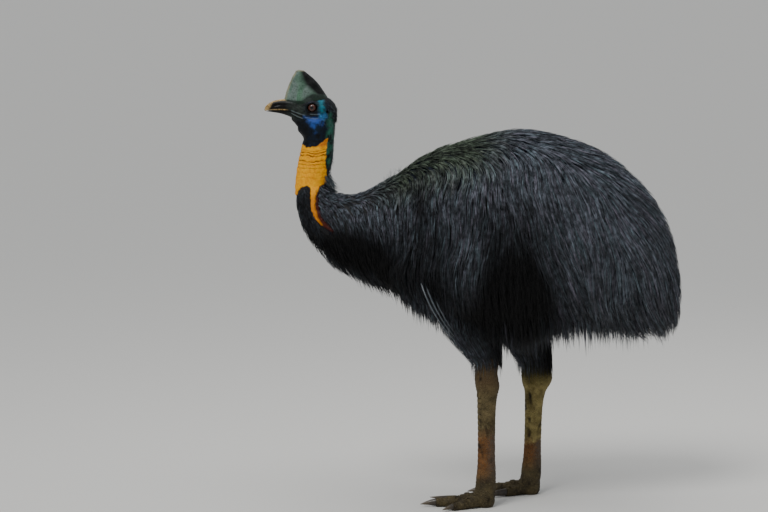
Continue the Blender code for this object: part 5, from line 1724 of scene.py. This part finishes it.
def clump_courses(along, turn, length, top_share, draw):
    """Marches each clump over the trunk; past the coat's hem or the rump's end it hangs free."""
    count = len(along)
    along, turn = along.copy(), turn.copy()
    points, normals = np.empty((2, count, STEPS + 1, 3))
    sway = draw.normal(0, SWAY, count)
    belly = (np.sin(turn) < BELLY_LOW) & (along > BELLY_FROM)
    free = belly.copy()
    hang = np.column_stack((draw.normal(0.18, 0.08, count), draw.normal(0, 0.06, count), -np.ones(count)))
    for step in range(STEPS + 1):
        risen = 1 - (1 - step / STEPS) ** RISE_POWER
        share = SKIN_SHARE - ROOTS_SUNK + (top_share - SKIN_SHARE + ROOTS_SUNK) * risen
        point, slope_a, slope_t, normal = trunk_frame(along, turn, share)
        flow = lie(point, normal, turn)
        flow = unit(flow + np.cross(normal, flow) * sway[:, None])
        if step == 0:
            heading = np.where(belly[:, None], unit(hang), flow)
            upright = np.cross(np.cross(hang, normal), hang)
            points[:, 0] = point
            normals[:, 0] = np.where(belly[:, None], unit(upright), normal)
        else:
            falling = points[:, step - 1] + heading * (length / STEPS)[:, None]
            before = normals[:, step - 1]
            kept = before - heading * (before * heading).sum(axis=1, keepdims=True)
            points[:, step] = np.where(free[:, None], falling, point)
            normals[:, step] = np.where(free[:, None], unit(kept), normal)
            pull = unit(heading + np.array((0.0, 0.0, -WEIGHT / STEPS)))
            heading = np.where(free[:, None], pull, flow)
        # The move in place and angle that follows the lie, from two slopes
        aa, tt = (slope_a * slope_a).sum(axis=1), (slope_t * slope_t).sum(axis=1)
        at = (slope_a * slope_t).sum(axis=1)
        fa, ft = (slope_a * flow).sum(axis=1), (slope_t * flow).sum(axis=1)
        reach = length / STEPS / np.maximum(aa * tt - at * at, 1e-12)
        move_a, move_t = (tt * fa - at * ft) * reach, (aa * ft - at * fa) * reach
        free |= along + move_a > RUMP_END
        free |= (np.sin(turn + move_t) < HEM_LOW) & (along > HEM_FROM)
        along = np.where(free, along, np.clip(along + move_a, 0.001, RUMP_END))
        turn = np.where(free, turn, turn + move_t)
    flows = unit(np.gradient(points, axis=1))
    return points, normals, flows


def reach_to_hem(points, draw):
    """The share of each course's length at which it passes the coat's hem."""
    rows = np.array(COAT)
    hem = np.interp(points[..., 0], rows[:, 2], rows[:, 3])
    middle, half, drop = BELLY_FRINGE
    hem = hem - drop * bell(points[..., 0] - middle, half)
    below = points[:, :, 2] < hem + draw.normal(0.000, HEM_SPREAD, (len(points), 1))
    first = np.where(below.any(axis=1), below.argmax(axis=1), STEPS)
    return np.clip(first / STEPS, SHORTEST_REACH, 1.0)


def along_course(courses, share):
    """Values along each course (n, STEPS + 1, 3) at shares of its length (n, m)."""
    index = np.clip(share, 0, 1) * STEPS
    low = np.minimum(index.astype(int), STEPS - 1)
    t = (index - low)[..., None]
    rows = np.arange(len(courses))[:, None]
    return courses[rows, low] * (1 - t) + courses[rows, low + 1] * t


def strands(name, middle, normal, flow, width, maps, facts, slot, material):
    """Joined three-sided tapering strands through middles (n, rings, 3), closed at root and tip."""
    count, rings = middle.shape[:2]
    across = unit(np.cross(normal, flow))[:, :-1]
    taper = by_table(TAPER, np.linspace(0, 1, rings)[:-1])
    half = (width[:, None] * taper)[..., None] / 2
    body, raised = middle[:, :-1], normal[:, :-1] * half
    low = raised * 0.35
    three = (body - across * half - low, body + raised * 0.65, body + across * half - low)
    points = np.concatenate((np.stack(three, axis=2).reshape(count, -1, 3), middle[:, -1:]), axis=1)
    per = points.shape[1]
    pairs = ((0, 1), (1, 2), (2, 0))
    quads = [(r + i, r + 3 + i, r + 3 + j, r + j) for r in range(0, rings * 3 - 6, 3) for i, j in pairs]
    last = rings * 3 - 6
    triangles = [(0, 1, 2)] + [(last + i, per - 1, last + j) for i, j in pairs]
    offset = (np.arange(count) * per)[:, None, None]
    quads = (np.array(quads)[None] + offset).ravel()
    triangles = (np.array(triangles)[None] + offset).ravel()
    corners = np.concatenate((quads, triangles)).astype(np.int32)
    starts = np.concatenate((np.arange(0, len(quads), 4), len(quads) + np.arange(0, len(triangles), 3)))
    mesh = bpy.data.meshes.new(name)
    mesh.vertices.add(count * per)
    mesh.loops.add(len(corners))
    mesh.polygons.add(len(starts))
    mesh.vertices.foreach_set("co", points.astype(np.float32).ravel())
    mesh.loops.foreach_set("vertex_index", corners)
    mesh.polygons.foreach_set("loop_start", starts.astype(np.int32))
    mesh.update(calc_edges=True)
    part = np.append(np.repeat(np.linspace(0, 1, rings)[:-1], 3), 1.0)
    store(mesh, "part", np.tile(part, count))
    for fact, values in facts.items():
        store(mesh, fact, np.repeat(values, per))
    # Each strand is a small patch at its root's place on the unwrapped skin
    column = np.append(np.tile((-1.0, 0.0, 1.0), rings - 1), 0.0)
    patch = np.column_stack((column, part * 2 - 1)) * BAKE_PATCH / 2
    spots = np.clip(maps[:, None] + patch[None], 0, 1).reshape(-1, 2)
    layer = mesh.uv_layers.new(name="OFBake")
    layer.uv.foreach_set("vector", spots[corners].astype(np.float32).ravel())
    return settle(shown(name, mesh), slot, material)


def painted_shade_and_light_at(points):
    """Painted shade (positive, blacker) and painted light (negative, paler) on the plumage at points."""
    darkening_and_painted_shade = np.zeros(len(points))
    for x, z, long, high, change in PAINTED_SHADE_AND_LIGHT:
        off = ((points[:, 0] - x) / long) ** 2 + ((points[:, 2] - z) / high) ** 2
        darkening_and_painted_shade += change * np.exp(-off)
    return darkening_and_painted_shade


def make_region(name, first, last, clumps, in_clump, rings, parted, draw, material):
    """One region of the trunk's coat, clump by clump."""
    along, turn = sample_trunk(clumps * (2 if parted else 1), first, last, draw)
    clumps = len(along)
    length = by_table(LENGTHS, along) * draw.uniform(*CLUMP_LENGTHS, clumps)
    length *= by_table(CREST_SHORTENING, np.sin(turn))
    tops = draw.uniform(*CLUMP_TOPS, clumps)
    points, normals, flows = clump_courses(along, turn, length, tops, draw)
    reach = reach_to_hem(points, draw)
    count = clumps * in_clump
    owner = np.repeat(np.arange(clumps), in_clump)
    part = np.linspace(0, 1, rings)
    end = (reach[owner] * draw.uniform(*STRAND_ENDS, count))[:, None]
    share = np.clip(draw.uniform(*STRAND_STARTS, count)[:, None] * (1 - part) + end * part, 0, 1)
    middle = along_course(points[owner], share)
    normal, flow = unit(along_course(normals[owner], share)), unit(along_course(flows[owner], share))
    spread = by_table(SPREADS, along[owner])[:, None]
    each = (count, 1)
    gather = 1.0 - CLOSING * np.clip(part * 1.2, 0, 1)
    wave = WAVE_HEIGHT * np.sin(part * draw.uniform(*WAVE_SPEEDS, each) + draw.uniform(0, 6.28, each))
    aside = draw.normal(0, ASIDE_SHARE, each) * spread * gather
    aside = aside + wave * part * np.minimum(spread / 0.01, 1)
    stray = (draw.uniform(0, 1, each) < STRAY_SHARE) * draw.uniform(0.2, 1.0, each) * spread * part**2
    lift = draw.normal(0, LIFT_SHARE, each) * spread * np.clip(part * 2.2, 0, 1) * gather
    lift = lift + stray * 0.8
    across = np.cross(normal, flow)
    middle = middle + across * (aside + stray)[..., None] + normal * lift[..., None]
    # Each strand is rolled a little, so that it catches the light in its own way
    normal = unit(normal + across * draw.normal(0, ROLL, (count, 1, 1)))

    marks = [marks_at(middle[:, ring]) for ring in (0, rings // 2, rings - 1)]
    kept = marks[0]["gold"] < GOLD_AT_ROOT
    kept &= np.maximum(marks[1]["gold"], marks[2]["gold"]) < GOLD_ALONG
    roots = middle[:, 0]
    reddest = np.maximum.reduce([mark["rust"] for mark in marks])
    kept &= reddest * draw.uniform(0.4, 1.0, count) < RUST_ALONG
    # Painted shade and painted light by place, with slow random swells; the painted light raises the strands'
    # tone
    darkening_and_painted_shade = painted_shade_and_light_at(middle[:, rings // 2]) + waves(roots, GLOOM_SWELLS, 13)
    tone = draw.uniform(0, 1, clumps)[owner] ** 1.2 * CLUMP_TONE
    tone = tone + draw.uniform(0, 1, count) * OWN_TONE
    crest = rising(np.sin(turn[owner]), CREST_FROM, CREST_SPAN) * CREST_STRENGTH
    crest = crest * by_table(CREST_ALONG, roots[:, 0])
    facts = {
        "tone": tone - np.minimum(darkening_and_painted_shade, 0) * 0.5,
        "darkening_and_painted_shade": np.clip(darkening_and_painted_shade, 0, 1),
        "hue": draw.uniform(0, 1, clumps)[owner],
        "crest": crest,
    }
    maps = np.column_stack((0.01 + 0.98 * along[owner], (turn[owner] / (2 * math.pi)) % 1.0))
    maps += draw.uniform(-0.002, 0.002, maps.shape)
    width = by_table(WIDTHS, along[owner]) * draw.uniform(*STRAND_WIDTHS, count)
    slot = "rump_plumage" if first >= RUMP_FROM else "plumage"
    for side in SIDES if parted else (None,):
        chosen = kept & (np.sign(np.cos(turn[owner])) == OUTWARD[side]) if side else kept
        picked = {fact: values[chosen] for fact, values in facts.items()}
        strands(
            f"{name}_{side}" if side else name, middle[chosen], normal[chosen], flow[chosen],
            width[chosen], maps[chosen], picked, slot, material,
        )


# How many times the plain length each drumstick's feathers have, and its few longest ones besides
ANKLE_FRINGE = {"left": 0.92, "right": 1.35}
ANKLE_WISPS = {"left": 1.9, "right": 1.15}
WISP_SHARE = 0.10
LEG_FEATHERS = 1700
LEG_FEATHER_TOPS = (0.428, 0.590)
LEG_FEATHER_LENGTHS = (0.036, 0.074)
LEG_FEATHER_WIDTHS = (0.0010, 0.0018)
LEG_LENGTH_BY_HEIGHT = [(0.428, 0.55), (0.50, 1.0)]
LEG_FULLNESS_BY_HEIGHT = [(0.43, 0.2), (0.47, 1.0)]


def make_leg_coat(side, material):
    """The feathering of a drumstick, down to the ankle, fullest in front."""
    draw = np.random.default_rng(SEED + len(side))
    count = LEG_FEATHERS
    angle = draw.uniform(0, 2 * math.pi, count)
    top = draw.uniform(*LEG_FEATHER_TOPS, count)
    length = draw.uniform(*LEG_FEATHER_LENGTHS, count) * by_table(LEG_LENGTH_BY_HEIGHT, top)
    length = length * ANKLE_FRINGE[side]
    length *= np.where(draw.uniform(0, 1, count) < WISP_SHARE, ANKLE_WISPS[side], 1.0)
    part = np.linspace(0, 1, 4)
    z = top[:, None] - length[:, None] * part
    angles = angle[:, None] + draw.normal(0, 0.10, (count, 1)) * part
    ahead = 1.0 + 0.9 * np.clip(-np.sin(angle), 0, 1) * by_table(LEG_FULLNESS_BY_HEIGHT, top)
    share = 0.05 + 0.95 * (1 - (1 - part) ** 2)[None] * (draw.uniform(0.4, 1.0, count) * ahead)[:, None]
    centre, deep, wide = drumstick_section(side, z.ravel(), share.ravel())
    round_x, round_y = np.sin(angles).ravel(), np.cos(angles).ravel()
    level = np.zeros(len(deep))
    middle = (centre + np.column_stack((round_x * deep, round_y * wide, level))).reshape(count, 4, 3)
    normal = unit(np.column_stack((round_x * wide, round_y * deep, level))).reshape(count, 4, 3)
    # The drumstick's rear is blackened with painted shade
    facts = {
        "tone": draw.uniform(0, 0.9, count),
        "darkening_and_painted_shade": np.clip(0.55 + 0.5 * np.sin(angle), 0, 1),
        "hue": draw.uniform(0, 1, count),
        "crest": np.zeros(count),
    }
    maps = np.column_stack((0.05 + 0.9 * (top - 0.42) / 0.18, (angle / (2 * math.pi)) % 1.0))
    width = draw.uniform(*LEG_FEATHER_WIDTHS, count)
    flow = unit(np.gradient(middle, axis=1))
    strands("feathers_drumstick_" + side, middle, normal, flow, width, maps, facts, "plumage", material)


# Bristles grow longer down the nape, where they pass into the coat: height and length
BRISTLE_LENGTHS = [(0.930, 0.038), (0.960, 0.030), (0.985, 0.014), (1.020, 0.009), (1.160, 0.007)]
BRISTLE_DENSITY = 0.085
BRISTLE_FALL = (0.75, 0.0, -1.0)
# By height: how thickly they stand, how far they stand off the nape where it meets the coat, and width
BRISTLE_THICKNESS = [(0.95, 2.2), (1.03, 1.0)]
BRISTLE_STAND_OFF = [(0.948, 1.00), (0.978, 0.0)]
BRISTLE_WIDTHS = [(0.95, 0.0009), (1.02, 0.00045)]


def make_bristles(skin, material):
    """Sparse hair-like bristles on the crown and nape."""
    draw = np.random.default_rng(SEED + 9)
    points, normals = points_of(skin.data) - SHIFT, normals_of(skin.data)
    x, z = points[:, 0], points[:, 2]
    density = np.where(z > 1.09, rising(x, -0.53, 0.03), rising(x, -0.497, 0.008))
    # The lowest ones also cover the rear edge of the gold
    fringe = rising(x, -0.514, 0.008) * rising(z, 0.968, -0.014)
    bare = marks_at(points)["gold"] * (1 - fringe)
    density = np.maximum(density, fringe)
    density *= (z > 0.925) * (1 - bare) * (z < 1.18) * by_table(BRISTLE_THICKNESS, z)
    chosen = np.flatnonzero(draw.uniform(0, 1, len(points)) < density * BRISTLE_DENSITY)
    roots, normal = points[chosen], normals[chosen]
    count = len(roots)
    down = np.array(BRISTLE_FALL)
    flow = unit(down - normal * (normal @ down)[:, None]) + draw.normal(0, 0.18, (count, 3))
    flow = unit(flow + normal * by_table(BRISTLE_STAND_OFF, roots[:, 2])[:, None])
    part = np.linspace(0, 1, 4)[None, :, None]
    rise = normal[:, None] * (0.0015 * np.sin(part * math.pi) + 0.0008 * part - 0.0004)
    length = draw.uniform(0.7, 1.4, count) * by_table(BRISTLE_LENGTHS, roots[:, 2])
    middle = roots[:, None] + flow[:, None] * part * length[:, None, None] + rise
    facts = {"tone": draw.uniform(0, 0.8, count), "hue": np.zeros(count), "crest": np.zeros(count)}
    # The bristles are darkened evenly through the same value
    facts["darkening_and_painted_shade"] = np.full(count, 0.2)
    maps = np.column_stack(((x[chosen] + 0.62) / 0.32 + (roots[:, 1] > 0) * 0.5, (z[chosen] - 0.93) / 0.27))
    normal, flow = (np.repeat(v[:, None], 4, axis=1) for v in (normal, flow))
    width = by_table(BRISTLE_WIDTHS, roots[:, 2])
    strands("bristles_head", middle, normal, flow, width, maps, facts, "plumage", material)


# Stage


def make_stage():
    """A plain pale floor, a pale surround and soft studio lights."""
    bm = bmesh.new()
    bmesh.ops.create_grid(bm, x_segments=1, y_segments=1, size=FLOOR_SIZE)
    floor = object_from("floor", bm)
    material, tree, shader = new_material("pale studio floor", Roughness=0.85)
    shader.inputs["Base Color"].default_value = colour("#d4d2cd")
    floor.data.materials.append(material)
    world = bpy.data.worlds.new("studio")
    bpy.context.scene.world = world
    world.use_nodes = True
    surround = world.node_tree.nodes["Background"].inputs
    surround["Color"].default_value = colour("#dfe4ea")
    surround["Strength"].default_value = SURROUND
    aim = Vector(LIGHTS_AIM)
    for name, (kind, place, size, energy) in LIGHTS.items():
        lamp = bpy.data.lights.new(name, kind)
        if kind == "SUN":
            lamp.angle = size
        else:
            lamp.size = size
        lamp.energy = energy
        light = shown(name, lamp)
        light.location = place
        light.rotation_euler = (aim - Vector(place)).to_track_quat("-Z", "Y").to_euler()


def make_camera():
    """A camera at the photograph's side, angle and scale."""
    centre_x = (PIXELS_WIDE / 2 - PIXEL_OF_ORIGIN[0]) * METRES_PER_PIXEL
    centre_z = (PIXEL_OF_ORIGIN[1] - PIXELS_HIGH / 2) * METRES_PER_PIXEL
    aim = Vector((centre_x + SHIFT[0], SHIFT[1], centre_z))
    rise = math.radians(CAMERA_RISE)
    camera = shown("camera", bpy.data.cameras.new("camera"))
    camera.location = aim + Vector((0.0, -math.cos(rise), math.sin(rise))) * CAMERA_DISTANCE
    camera.rotation_euler = (aim - camera.location).to_track_quat("-Z", "Y").to_euler()
    camera.data.sensor_width = SENSOR
    camera.data.lens = CAMERA_DISTANCE / METRES_PER_PIXEL / PIXELS_WIDE * SENSOR
    bpy.context.scene.camera = camera


make_camera()
make_stage()
plumage = make_plumage()
bare_skin, covered_skin, leg_skin = make_skin_materials()
bill_horn = make_bill_material()
claw_horn = make_claw_material()
quill_horn = make_quill_material()
eye_surface = make_eye_material()
whole_skin, bare_legs = make_skin(bare_skin, covered_skin, leg_skin)
scale_horn = make_leg_material("horny leg scales")
small_scales, broad_scutes = scale_tree(), scute_tree()
make_bill("bill_upper_horn", "bill_upper", BILL_UPPER, BILL_UPPER_TIP, "bottom", bill_horn)
make_bill("bill_lower_horn", "bill_lower", BILL_LOWER, BILL_LOWER_TIP, "top", bill_horn)
make_casque(make_casque_material())
for each_side in SIDES:
    make_eye(each_side, eye_surface)
    make_wing(each_side, quill_horn, covered_skin)
    make_leg_coat(each_side, plumage)
    make_scales(each_side, bare_legs, small_scales, scale_horn)
    make_scutes(each_side, broad_scutes, scale_horn)
    for each_toe in TOES:
        make_claw(each_side, each_toe, claw_horn)
make_bristles(whole_skin, plumage)
for number, region in enumerate(REGIONS):
    make_region(*region, np.random.default_rng(SEED + number), plumage)
